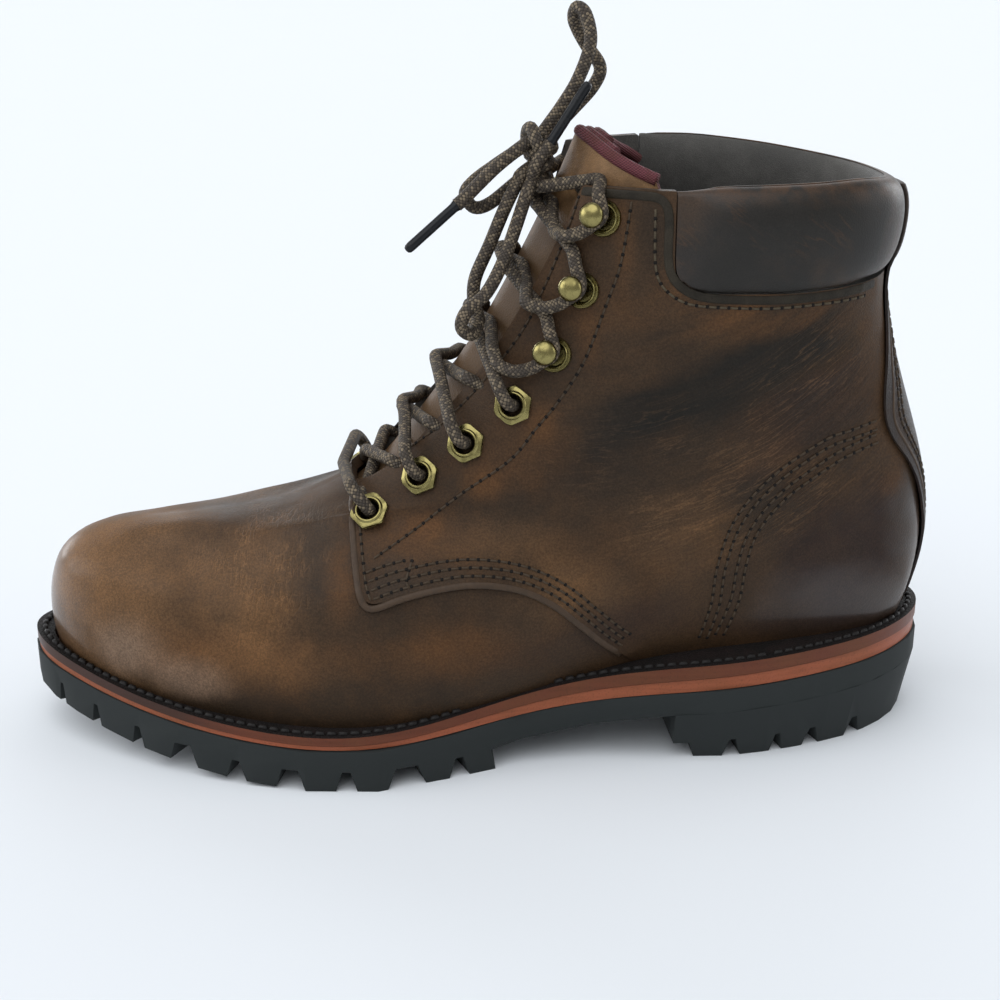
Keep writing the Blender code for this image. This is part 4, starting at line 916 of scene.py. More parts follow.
def leather_collar():
    """Softer dark leather of the padding, scuffed reddish, lighter along its top edge."""
    material, n, shader, place = new_finish("padded_collar_leather", 0.22)
    c = colours()
    mottle = n.group("Oil Mottle", Vector=place, Patch=0.060)
    colour = n.blend(mottle["Cloud"], c.hide_dark, c.collar)
    rubbed = n.times(n.spread(n.noise(place, 34.0, 4.0, 0.60), 0.46, 0.72), 0.55)
    colour = n.blend(rubbed, colour, c.hide)
    scuff = n.group("Fine Creases", Vector=place, Tilt=math.radians(-38), Long=0.024, Short=0.0045)
    scarce = n.times(scuff["Line"], n.spread(n.noise(place, 48.0, 3.0), 0.52, 0.66))
    colour = n.blend(n.times(scarce, 0.17), colour, c.hide_rust)
    high = n.spread(n.split(place)["Z"], 0.184, 0.195)
    top = n.times(high, n.spread(n.noise(place, 150.0), 0.30, 0.62))
    colour = n.blend(n.times(top, 0.60), colour, c.hide_rust)
    grain = n.group("Hide Grain", Vector=place, Pebble=0.8 * MM)
    # Painted shade in the valleys between the pebbles.
    colour = n.blend(n.times(grain["Valley Shade"], 0.25), colour, c.hide_dark)
    flecked = n.from_base(0.84, mottle["Fleck"], 0.32)
    colour = n.dimmed(colour, flecked)
    dress(n, shader, colour, n.from_base(0.38, mottle["Fleck"], 0.16))
    shader.inputs["Coat Weight"].default_value = 0.20
    shader.inputs["Coat Roughness"].default_value = 0.34
    broad = bump(n, shader, n.noise(place, 40.0, 1.5), 1.0 * MM, 0.7)
    bump(n, shader, grain["Height"], 0.06 * MM, 0.6, broad)
    return material


def woven_lining(name):
    """Burgundy woven lining of the tongue."""
    material, n, shader, place = new_finish(name)
    c = colours()
    axes = n.split(place)
    pitches = {"X": 1.1 * MM, "Z": 0.8 * MM}
    weave = n.times(*(n.math("SINE", n.times(axes[axis], 2 * math.pi / pitch))
                      for axis, pitch in pitches.items()))
    worn = n.spread(n.noise(place, 160.0, 3.0), 0.4, 0.65)
    # Painted shade: the low parts of the weave take a darker copy of the colour, as shade between the
    # threads.
    colour = n.blend(n.spread(weave, -0.6, 0.8), toned(c.wine, 0.45), c.wine)
    colour = n.blend(n.times(worn, 0.35), colour, c.hide)
    dress(n, shader, colour, n.from_base(0.62, worn, 0.2))
    bump(n, shader, weave, 0.16 * MM, 0.8)
    return material


def rubber_finish(name):
    """Near black blue green rubber, dulled by dust, with a faint mould skin."""
    material, n, shader, place = new_finish(name)
    c = colours()
    dust = n.spread(n.noise(place, 55.0, 5.0, 0.65), 0.42, 0.72)
    skin = n.noise(place, 2600.0, 2.0)
    dusty = [0.6 * v + 0.030 for v in c.rubber]
    colour = n.blend(n.times(dust, 0.55), c.rubber, dusty)
    dress(n, shader, colour, n.from_base(0.44, dust, 0.22))
    bump(n, shader, n.plus(skin, n.times(dust, 1.5)), 0.05 * MM, 0.7)
    return material


def midsole_finish(name, colour, toe=None):
    """Trimmed, stained and burnished leather edge with faint layers; toe is the darker colour it turns to
    round the toe.
    """
    material, n, shader, place = new_finish(name, 0.22)
    c = colours()
    layers = n.noise(n.vector("MULTIPLY", place, (35.0, 35.0, 700.0)), 1.0, 2.0, 0.5)
    fibre = n.noise(place, 1500.0, 3.0, 0.7)
    stain = n.spread(n.noise(place, 38.0, 4.0, 0.6), 0.38, 0.66)
    shade = n.blend(n.times(n.spread(layers, 0.30, 0.70), 0.35), colour, toned(colour, 0.55))
    shade = n.blend(n.times(stain, 0.30), shade, c.hide_rust)
    shade = n.blend(n.times(n.spread(fibre, 0.50, 0.75), 0.35), shade, c.hide_dark)
    # Round the toe the edge is blended towards the given darker colour.
    if toe:
        shade = n.blend(n.spread(n.split(place)["X"], -0.078, -0.108, 0.0, 0.7), shade, toe)
    dress(n, shader, shade, n.from_base(0.30, stain, 0.18))
    bump(n, shader, n.plus(n.times(layers, 0.5), fibre), 0.10 * MM, 0.5)
    return material


def brass_finish(name):
    """Brass with brown tarnish and fine scratches."""
    material, n, shader, place = new_finish(name)
    c = colours()
    tarnish = n.spread(n.noise(place, 420.0, 4.0, 0.6), 0.42, 0.68)
    scratch = n.noise(n.vector("MULTIPLY", place, (900.0, 900.0, 5200.0)), 1.0, 2.0)
    colour = n.blend(n.times(tarnish, 0.55), c.brass, toned(c.brass, 0.42))
    dress(n, shader, colour, n.from_base(0.20, tarnish, 0.20))
    shader.inputs["Metallic"].default_value = 1.0
    bump(n, shader, n.plus(scratch, tarnish), 0.04 * MM, 0.5)
    return material


def braid_finish(name):
    """Round braid: two sets of strands wound against each other, with light flecked yarns."""
    material, n, shader, _ = new_finish(name)
    c = colours()
    around_along = n.split(n.add("ShaderNodeUVMap", uv_map="Lace").outputs["UV"])
    strands, pitch, past_any_lace = 8.0, 3.4, 600.0
    turn, run = n.times(around_along["X"], strands), n.times(around_along["Y"], pitch)
    left, right = n.plus(turn, run), n.minus(turn, run)
    height = n.times(*(n.math("ABSOLUTE", n.math("SINE", n.times(v, math.pi))) for v in (left, right)))
    lane = n.math("MODULO", n.plus(left, past_any_lace), strands)
    yarn = n.add("ShaderNodeTexWhiteNoise", noise_dimensions="2D")
    n.put(yarn.inputs["Vector"], n.joined(n.math("FLOOR", lane), n.math("FLOOR", right)))
    light = n.spread(yarn.outputs["Value"], 0.40, 0.84)
    colour = n.blend(n.times(light, 0.85), c.lace, c.lace_fleck)
    # Painted shade: the grooves between the strands take a darker copy of the lace colour.
    colour = n.blend(n.spread(height, 0.45, 0.0), colour, toned(c.lace, 0.35))
    dress(n, shader, colour, n.from_base(0.58, light, 0.18))
    bump(n, shader, height, 0.32 * MM, 0.9)
    return material


def plain_finish(name, colour, rough, speckle, depth=0.05):
    """Small smooth parts: one colour broken by a little dirt and wear."""
    material, n, shader, place = new_finish(name, 0.2)
    wear = n.spread(n.noise(place, speckle, 4.0, 0.6), 0.40, 0.68)
    worn = [0.5 * v + 0.01 for v in colour]
    dress(n, shader, n.blend(n.times(wear, 0.5), colour, worn), n.from_base(rough, wear, 0.15))
    bump(n, shader, wear, depth * MM, 0.6)
    return material


def finish(make, name, *values):
    """A finish made once and shared by its pieces."""
    return bpy.data.materials.get(name) or make(name, *values)


def lace_finish():
    return finish(braid_finish, "braided_lace")


def thread_finish():
    return finish(plain_finish, "brown_thread", colours().thread, 0.50, 900.0)


def pale_thread_finish():
    return finish(plain_finish, "light_thread", colours().thread_light, 0.60, 900.0)


def trim_finish(name, colour, dark, light, patch, rough, pebble):
    """Hide of a trim piece by the tones of one colour."""
    tones = (toned(colour, dark), toned(colour, light))
    return finish(leather_plain, name, colour, *tones, patch, rough, pebble)


def lining_finish():
    return trim_finish("shaft_lining", colours().lining, 0.6, 1.15, 0.04, 0.36, 0.6 * MM)


def binding_finish():
    return trim_finish("collar_binding", colours().binding, 0.5, 1.6, 0.02, 0.50, 0.8 * MM)


def cut_edge_finish():
    return finish(plain_finish, "cut_edge", colours().edge, 0.45, 500.0)


# Soft boxes far round the boot: where they hang, their half angle in degrees and their strength.
SOFTBOXES = (
    ((-0.30, -0.40, 0.87), 36, 1.55),
    ((-0.95, 0.10, 0.34), 20, 2.5),
    ((0.92, -0.15, 0.38), 20, 1.3),
    ((0.80, 0.62, 0.16), 16, 3.0),
    ((0.10, 0.90, 0.45), 28, 0.9),
    ((-0.62, 0.76, 0.13), 13, 4.6),
)


# Camera of the photo's angle: where it stands in metres, how far it looks down and turns in degrees.
CAMERA_SPOT = (-0.03561, -0.50895, 0.26396)
CAMERA_DOWN, CAMERA_TURN = 19.856, -4.738
CAMERA_FILM, CAMERA_NEAR = 36.0, 0.01
FLOOR_SIDE, FLOOR_CLOUD = 60.0, (0.7, 0.72, 0.76)
LIGHT_TINT = (0.955, 0.975, 1.0)
# Parts of a soft box's half angle where its light starts to fall off and where it ends.
BOX_FULL, BOX_END = 0.75, 1.1


class BOOT_OT_stage(bpy.types.Operator):
    """Lay the pale floor, hang the soft lights and set up the camera"""
    bl_idname = "boot.stage"
    bl_label = "Stage"

    def execute(self, context):
        settings = context.scene.boot_stage
        bpy.ops.object.select_all(action="DESELECT")
        bpy.ops.mesh.primitive_plane_add(size=FLOOR_SIDE)
        floor = context.object
        floor.name = "floor"
        material, n, shader, place = new_finish("pale_floor", 0.0)
        cloud = n.noise(place, 3.0, 2.0)
        dress(n, shader, n.blend(n.times(cloud, 0.04), settings.floor, FLOOR_CLOUD), 0.6)
        floor.data.materials.append(material)

        world = bpy.data.worlds.new("studio")
        world.use_nodes = True
        n = Nodes(world.node_tree)
        sky = world.node_tree.nodes["Background"]
        way = n.add("ShaderNodeTexCoord").outputs["Generated"]
        light = settings.sky
        for aim, spread, power in SOFTBOXES:
            facing = n.vector("DOT_PRODUCT", way, Vector(aim).normalized())
            near, far = (math.cos(math.radians(spread * part)) for part in (BOX_FULL, BOX_END))
            light = n.plus(light, n.times(n.spread(facing, far, near), power * settings.key))
        n.put(sky.inputs["Strength"], light)
        sky.inputs["Color"].default_value = tone(LIGHT_TINT)
        context.scene.world = world

        aim = (math.radians(90 - CAMERA_DOWN), 0, math.radians(CAMERA_TURN))
        bpy.ops.object.camera_add(location=CAMERA_SPOT, rotation=aim)
        camera = context.object
        camera.data.lens = settings.lens
        camera.data.sensor_width = CAMERA_FILM
        camera.data.clip_start = CAMERA_NEAR
        context.scene.camera = camera
        context.scene.view_settings.view_transform = "Standard"
        return {"FINISHED"}


def aglet(name, start, tip):
    """Plastic sleeve crimped over a lace end, with a rounded tip."""
    start, tip = Vector(start), Vector(tip)
    long, r = (tip - start).length / MM, sizes().aglet / 2 / MM
    outline = ((0.0, 0.0), (1.10, 0.0), (1.16, 0.03), (1.0, 0.08), (1.0, 0.90), (0.92, 0.96),
               (0.60, 0.99), (0.0, 1.0))
    sleeve = spun(name, [(wide * r, along * long) for wide, along in outline], 16)
    sleeve.data.transform(seat(start, tip - start, (0.3, 0.8, 0.1)))
    return sleeve


# Cords of the bow by the solids that they dress: route, and the tip of a free end.
BOW_CORDS = {
    "lace_loop_up": (LOOP_UP, None),
    "lace_loop_left": (LOOP_LEFT, None),
    "lace_loop_down": (LOOP_DOWN, None),
    "lace_end_left": (END_LEFT, END_LEFT_TIP),
    "lace_end_up": (END_UP, END_UP_TIP),
}
# The coil of the knot: its turns, its half depth and half width, how far it climbs and drifts.
COIL_FROM, COIL_TO = -0.6, 2.1 * 2 * math.pi
COIL_DEEP, COIL_WIDE, COIL_CLIMB, COIL_DRIFT = 3.3 * MM, 4.6 * MM, 10.6 * MM, 2.0 * MM


def strand_to_knot(spot, before):
    """A short strand that leads a cord's end on into the knot."""
    away = unit(spot - before)
    return smooth_path([spot - 0.5 * MM * away, spot, spot + 1.6 * MM * away, KNOT], CORD_STEP)


class BOOT_OT_bow(bpy.types.Operator):
    """Tie the bow: three loops, two tipped ends and the knot, as free cords"""
    bl_idname = "boot.bow"
    bl_label = "Bow"

    def execute(self, context):
        lace = sizes().lace
        tip_finish = finish(plain_finish, "black_aglet", colours().aglet, 0.18, 300.0, 0.02)
        strands = [smooth_path(KNOT_TURN, CORD_STEP)]
        for name, (route, tip) in BOW_CORDS.items():
            path = smooth_path(route, CORD_STEP)
            strands.append(strand_to_knot(path[0], path[2]))
            cord = settle(tube("bow_" + name, path, lace / 2), "lace_cord", lace_finish())
            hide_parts(name)
            held = []
            if tip:
                sleeve = aglet(name + "_aglet", path[-1] - 0.4 * (path[-1] - path[-2]), tip)
                held = [settle(sleeve, "lace_cord", tip_finish)]
            else:
                strands.append(strand_to_knot(path[-1], path[-3]))

        turn = np.linspace(COIL_FROM, COIL_TO, 90)
        share = np.linspace(0, 1, 90)
        coil = np.column_stack([KNOT.x + COIL_DEEP * np.cos(turn) + COIL_DRIFT * (share - 0.5),
                                KNOT.y - 1.0 * MM + COIL_WIDE * np.sin(turn),
                                KNOT.z - 5.4 * MM + COIL_CLIMB * share])
        start = np.array(KNOT) + np.array((4, 3, -7)) * MM
        parts = [tube(f"bow_strand_{count}", strand, 0.49 * lace) for count, strand in enumerate(strands)]
        knot = tube("bow_knot", np.vstack([start, coil]), lace / 2)
        join_pieces(knot, parts)
        settle(knot, "lace_cord", lace_finish())
        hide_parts("lace_knot")
        return {"FINISHED"}


# Soft creases of the upper on one side: the line in millimetres, its half width and its depth.
CREASES = (
    (((-100, 46, 34), (-92, 34, 62), (-88, 14, 78), (-87, 0, 80)), 6.0, -0.7),
    (((-84, 46, 36), (-76, 36, 62), (-72, 18, 82), (-71, 0, 86)), 5.0, 0.45),
    (((-72, 44, 44), (-64, 34, 68), (-60, 18, 86), (-59, 0, 92)), 4.0, -0.6),
    (((100, 40, 118), (112, 34, 128), (124, 24, 140)), 3.5, -0.6),
    (((96, 40, 128), (108, 36, 138), (120, 26, 148)), 3.0, -0.5),
    (((30, 36, 104), (52, 40, 100), (76, 38, 106)), 7.0, -0.6),
    (((34, 35, 122), (56, 39, 120), (80, 39, 126)), 6.0, 0.5),
)


def press_creases(piece):
    """Presses the creases into the leather, each through its own vertex group."""
    only(piece)
    fold = spots_of(piece.data)
    fold[:, 1] = np.abs(fold[:, 1])
    for count, (line, width, depth) in enumerate(CREASES):
        path = smooth_path(np.array(line) * MM, 3 * MM)
        share = np.linspace(0, 1, len(path))
        fade = np.minimum(1.0, np.minimum(share + 0.15, 1.15 - share) * 5)
        near = np.zeros(len(fold))
        for spot, strength in zip(path, fade):
            away = np.linalg.norm(fold - spot, axis=1) / (width * MM)
            near = np.maximum(near, strength * np.exp(-away ** 2))
        group = piece.vertex_groups.new(name=f"crease_{count}")
        for index in np.nonzero(near > 0.02)[0]:
            group.add([int(index)], float(near[index]), "REPLACE")
        shape(piece, "DISPLACE", group.name, direction="NORMAL", mid_level=0.0, strength=depth * MM,
              vertex_group=group.name)
    piece.vertex_groups.clear()


# Middle of the hollow boot: the shaft's x and its foot, the height and ends of the foot's axis.
SHAFT_X, SHAFT_FOOT, FOOT_HEIGHT, FOOT_ENDS = 0.085, 0.10, 0.05, (-0.12, 0.11)


def line_inside(piece):
    """Gives the faces that look into the boot the second finish."""
    middle = faces_of(piece.data, "center")
    shaft = middle[:, 2] > SHAFT_FOOT
    axis = np.column_stack([np.where(shaft, SHAFT_X, np.clip(middle[:, 0], *FOOT_ENDS)),
                            np.zeros(len(middle)), np.where(shaft, middle[:, 2], FOOT_HEIGHT)])
    give_second_finish(piece, np.einsum("ij,ij->i", faces_of(piece.data, "normal"), middle - axis) < 0)


def eased(value, low, high):
    """0 below low, 1 above high, with a soft passage between."""
    share = min(max((value - low) / (high - low), 0.0), 1.0)
    return share * share * (3 - 2 * share)


def medial_rise(x, z):
    """How much higher the inner facing stands than the outer one, in millimetres."""
    return MEDIAL_RISE * eased(z, RISE_FOOT, RISE_TOP) * (1 - eased(x, RISE_FRONT, RISE_BACK))


def on_side(route, side):
    """A seam for one side of the boot: on the inner side it follows the higher facing."""
    if side == LATERAL:
        return route
    return [(x, z + medial_rise(x, z)) for x, z in route]


def rise_and_fall(value, up_from, up_to, down_from, down_to):
    """0, softly up to 1 and softly down to 0 again."""
    return eased(value, up_from, up_to) * (1 - eased(value, down_from, down_to))


def round_crown(piece):
    """Lowers and evens out the shoulders of the vamp's crown, in front of the lacing."""
    for spot in piece.data.vertices:
        x, away, z = spot.co.x / MM, abs(spot.co.y) / MM, spot.co.z / MM
        share = rise_and_fall(x, -128, -106, -62, -47) * eased(z, 50, 64)
        spot.co.z -= CROWN_DROP * MM * share * rise_and_fall(away, 2, 15, 18, 34)
    only(piece)
    group = piece.vertex_groups.new(name="crown_shoulders")
    for spot in piece.data.vertices:
        x, away, z = spot.co.x / MM, abs(spot.co.y) / MM, spot.co.z / MM
        share = rise_and_fall(x, -110, -90, -50, -45) * eased(z, 54, 64) * rise_and_fall(away, 3, 10, 30,
                                                                                         42)
        if share > 0.01:
            group.add([spot.index], share, "REPLACE")
    shape(piece, "SMOOTH", group.name, factor=0.5, iterations=60, vertex_group=group.name)
    piece.vertex_groups.clear()


def lower_quarters(piece):
    """Slides the step at the quarters' foot along the leather, down to the seam."""
    tree = surface(piece)
    cut, slip = np.array(QUARTER_CUT[2:]), np.array(QUARTER_SLIP[2:])
    path = smooth_path(cut, 1.0)
    spots = spots_of(piece.data)
    reach, clear, middle = 9.0, 8.0, 15 * MM
    for side in SIDES:
        ways = []
        for x, z in cut:
            looks = [look(tree, x * MM, (z + off) * MM, side)[1] for off in (clear, -clear)]
            ways.append(sum((way for way in looks if way is not None), Vector()).normalized())
        ways = np.array(ways)
        for index in np.nonzero(side * spots[:, 1] > middle)[0]:
            x, z = spots[index, 0] / MM, spots[index, 2] / MM
            near = np.min(np.hypot(path[:, 0] - x, path[:, 1] - z))
            if near < 2.5 * reach:
                right, up = between(x, cut[:, 0], slip)
                move = np.array([right, 0.0, up])
                way = unit(between(x, cut[:, 0], ways))
                spots[index] += MM * math.exp(-(near / reach) ** 2) * (move - way * (move @ way))
    piece.data.vertices.foreach_set("co", spots.ravel())


class BOOT_OT_upper(bpy.types.Operator):
    """Dress the vamp and quarters in creased, oiled leather with a smooth lining"""
    bl_idname = "boot.upper"
    bl_label = "Upper"

    def execute(self, context):
        piece = smooth_copy("upper", "upper_hide", 50)
        press_creases(piece)
        for spot in piece.data.vertices:
            inner = eased(spot.co.y / MM, 4.0, 12.0)
            spot.co.z += MM * inner * medial_rise(spot.co.x / MM, spot.co.z / MM)
        round_crown(piece)
        lower_quarters(piece)
        settle(piece, "upper_leather", leather_upper(), lining_finish())
        line_inside(piece)
        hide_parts("upper")
        return {"FINISHED"}


def taper_front(piece, tree):
    """Thins the padding towards its front end, so that it runs out into the facing."""
    front, reach, least, half_wall = 57 * MM, 17 * MM, 0.34, 1.5 * MM
    seam_height, top = 157 * MM, 189 * MM
    for spot in piece.data.vertices:
        keep = least + (1 - least) * eased(spot.co.x, front, front + reach)
        if keep < 1.0:
            side = MEDIAL if spot.co.y > 0 else LATERAL
            seam, _ = look(tree, spot.co.x, seam_height, side)
            middle = seam.y - side * half_wall
            spot.co.y = middle + (spot.co.y - middle) * keep
            if side == LATERAL:
                spot.co.z -= (1 - keep) * max(0.0, spot.co.z - top)


def top_line(piece, middle):
    """The highest points of a ring shaped piece, walked round a middle, with upright normals."""
    spots = spots_of(piece.data)
    turns = np.arctan2(spots[:, 1], spots[:, 0] - middle)
    line = []
    for turn in np.radians(np.arange(-128, 128.1, 4.0)):
        near = spots[np.abs(turns - turn) < math.radians(4)]
        if len(near):
            line.append(near[np.argmax(near[:, 2])])
    line = ease(line, 3 * MM)
    return line, np.tile((0.0, 0.0, 1.0), (len(line), 1))


class BOOT_OT_collar(bpy.types.Operator):
    """Pad the collar, line it, bind its seam and cover its back"""
    bl_idname = "boot.collar"
    bl_label = "Collar"

    def execute(self, context):
        c = colours()
        tree = surface(bpy.data.objects["upper_hide"])
        piece = smooth_copy("collar", "padded_collar", 60)
        taper_front(piece, tree)
        settle(piece, "collar_leather", leather_collar(), lining_finish())
        line_inside(piece)
        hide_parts("collar")
        lines = [lay_on_side(tree, on_side(COLLAR_BINDING, side), side) for side in SIDES]
        binding = strip_on("collar_binding", lines, [1.45 * MM], 0.4 * MM, 0.2)
        settle(binding, "collar_leather", binding_finish())
        seam = strip_on("collar_top_seam", [top_line(piece, 90 * MM)], [0.5 * MM], 0.35 * MM, 0.2)
        settle(seam, "collar_leather", bpy.data.materials["padded_collar_leather"])
        back = lay_on_back(surface(piece), COLLAR_BACK, MEDIAL)
        cover = strip_on("collar_back_strip", [back], [13.5 * MM, 12 * MM, 11 * MM], 2.0 * MM, 0.1)
        settle(cover, "backstay_leather",
               leather_plain("backstay_hide", c.collar, c.hide_plum, c.hide, 0.06, 0.34, 0.9 * MM))
        return {"FINISHED"}


# Rolls of the tongue's lining: how far they lie behind its top edge and where they start across it.
LINING_ROLLS = ((1.2, -31), (4.0, -20), (6.8, -10))
TONGUE_REACH = 31


class BOOT_OT_tongue(bpy.types.Operator):
    """Make the tongue of soft tan leather with a woven lining"""
    bl_idname = "boot.tongue"
    bl_label = "Tongue"

    def execute(self, context):
        c = colours()
        woven = finish(woven_lining, "woven_tongue_lining")
        piece = smooth_copy("tongue", "tongue_hide", 50)
        hide = leather_plain("tongue_hide", c.tongue, toned(c.tongue, 0.5), toned(c.tongue, 1.2),
                             0.03, 0.44, 0.9 * MM, 0.09, toned(c.tongue, 0.36))
        settle(piece, "tongue_leather", hide, woven)
        give_second_finish(piece, faces_of(piece.data, "normal") @ np.array(OUT_THROAT) < -0.25)
        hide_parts("tongue")
        spots = spots_of(piece.data)
        rim = []
        for across in np.arange(-TONGUE_REACH, TONGUE_REACH + 0.1, 2.0) * MM:
            near = spots[np.abs(spots[:, 1] - across) < 1.6 * MM]
            if len(near):
                rim.append(near[np.argmax(near[:, 2])])
        rim = np.array(rim)
        rolls = []
        for back, first in LINING_ROLLS:
            part = rim[rim[:, 1] > first * MM] + (back * MM, 0, (0.5 - 0.15 * back) * MM)
            rolls.append(tube("lining_roll", ease(part, 2.5 * MM), 2.0 * MM))
        *others, roll = rolls
        join_pieces(roll, others)
        roll.name = "tongue_lining_rolls"
        settle(roll, "tongue_leather", woven)
        return {"FINISHED"}


# How much of its solid's height above the leather the back strip keeps.
BACKSTAY_KEPT = 0.55


class BOOT_OT_backstay(bpy.types.Operator):
    """Sew the leaf shaped strip up the back seam"""
    bl_idname = "boot.backstay"
    bl_label = "Backstay"

    def execute(self, context):
        piece = smooth_copy("backstay", "backstay_strip", 50)
        settle(piece, "backstay_leather", bpy.data.materials["backstay_hide"])
        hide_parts("backstay")
        upper = surface(bpy.data.objects["upper_hide"])
        for spot in piece.data.vertices:
            near, _, _, _ = upper.find_nearest(spot.co)
            spot.co = near + (spot.co - near) * BACKSTAY_KEPT
        tree = surface(piece)
        edges = [lay_on_back(tree, BACK_EDGE, side, 0.7 * MM) for side in SIDES]
        piping = strip_on("backstay_piping", edges, [0.6 * MM], 0.35 * MM)
        settle(piping, "backstay_leather", cut_edge_finish())
        return {"FINISHED"}


class BOOT_OT_edges(bpy.types.Operator):
    """Roll the cut edges of the quarters"""
    bl_idname = "boot.edges"
    bl_label = "Quarter edges"

    def execute(self, context):
        tree = surface(bpy.data.objects["upper_hide"])
        lines = []
        for side in SIDES:
            row = lay_on_side(tree, inset_route(QUARTER_EDGE, EDGE_IN), side)
            lines.append(offset_line(row, side * EDGE_BACK * MM))
        piece = strip_on("quarter_edges", lines, [sizes().edge], 0.8 * MM, 0.6)
        settle(piece, "upper_leather", cut_edge_finish())
        return {"FINISHED"}


class BOOT_OT_stitching(bpy.types.Operator):
    """Sew every visible row of stitches on the upper and the back strip"""
    bl_idname = "boot.stitching"
    bl_label = "Stitching"

    def execute(self, context):
        s = sizes()
        tree = surface(bpy.data.objects["upper_hide"])
        back = surface(bpy.data.objects["backstay_strip"])
        dark, light = [], []
        for side in SIDES:
            for inset in QUARTER_ROWS:
                dark.append(lay_on_side(tree, inset_route(QUARTER_FOOT, inset), side))
            top = inset_route(QUARTER_FOOT, BARTACK_RISE)
            dark.append(lay_on_side(tree, top[top[:, 0] < BARTACK_END], side))
            rises = (BARTACK_FOOT, 0.5 * BARTACK_RISE, BARTACK_RISE)
            routes = [inset_route(QUARTER_FOOT, rise) for rise in rises]
            cross = [route[route[:, 0] < BARTACK_END][-1] for route in routes]
            dark.append(lay_on_side(tree, cross, side))
            dark.append(lay_on_side(tree, inset_route(QUARTER_FRONT, FRONT_INSET), side))
            for route in (THROAT_ROW, FACING_ROW):
                dark.append(lay_on_side(tree, on_side(route, side), side))
            for route in (COUNTER_ROW, COUNTER_ROW_LOW):
                row = lay_on_side(tree, route, side)
                dark += [offset_line(row, d * MM) for d in COUNTER_PAIR]
            for inset in BACK_ROWS:
                dark.append(lay_on_back(back, BACK_EDGE, side, inset * MM))
            light.append(lay_on_side(tree, on_side(COLLAR_ROW, side), side))
        pitch = s.stitch + s.stitch_gap
        for name, lines, thread in (("upper_stitching", dark, thread_finish()),
                                    ("collar_stitching", light, pale_thread_finish())):
            rows = stitch_rows(name, lines, s.stitch, pitch, 0.5 * s.stitch_gap, s.thread, s.thread)
            settle(rows, "upper_leather", thread)
        # Painted shade: a near black dot over each needle hole stands in for the shade inside it.
        holes = stitch_rows("needle_holes", dark + light, s.hole, pitch, pitch - 0.5 * s.hole, s.hole,
                            HOLE_RISE * MM)
        settle(holes, "upper_leather", finish(plain_finish, "needle_hole", colours().hole, 0.7, 700.0))
        return {"FINISHED"}


# The welt's outline is felt for from a straight middle line with round ends.
WELT_HALF_LINE, WELT_REACH, WELT_BELOW_TOP = 0.095, 0.055, 2.0 * MM
WELT_SEAM_INSET, WELT_STITCH_GAP = 2.7 * MM, 0.2 * MM
RUBBER_BEVEL, HEEL_JOINT_REACH = 0.5 * MM, 1.6 * MM


def highest(spots, stations, reach):
    """Greatest heights of points near stations along the boot."""
    return [spots[np.abs(spots[:, 0] - x) < reach, 2].max(initial=0.0) for x in stations]


def welt_line(inset):
    """A line round the welt's top, a given way in from its outer edge, with the normals there."""
    welt = bpy.data.objects["welt_strip"]
    tree = surface(welt)
    spots = spots_of(welt.data)
    stations = np.linspace(spots[:, 0].min(), spots[:, 0].max(), 60)
    tops = highest(spots, stations, 4 * MM)
    turns = np.linspace(-math.pi / 2, math.pi / 2, 60)
    rays = []
    for end in (1, -1):
        rays += [(end * WELT_HALF_LINE, end * math.cos(t), end * math.sin(t)) for t in turns]
        rays += [(end * x, 0.0, end) for x in np.linspace(WELT_HALF_LINE, -WELT_HALF_LINE, 90)[1:-1]]
    outer = []
    for x, dx, dy in rays:
        away = Vector((dx, dy, 0))
        reach = WELT_REACH
        for _ in range(6):
            height = float(np.interp(x + dx * reach, stations, tops)) - WELT_BELOW_TOP
            spot, _, _, _ = tree.ray_cast(Vector((x, 0, height)) + away * FAR, -away)
            reach = 0.85 * reach if spot is None else math.hypot(spot.x - x, spot.y)
        if spot is not None:
            outer.append((spot.x, spot.y))
    outer = np.array(outer + outer[:1])
    inner = moved_left(smooth_path(outer[::2], 0.8 * MM), inset)
    return laid(tree, [(x, y, FAR) for x, y in inner], (0, 0, -1))


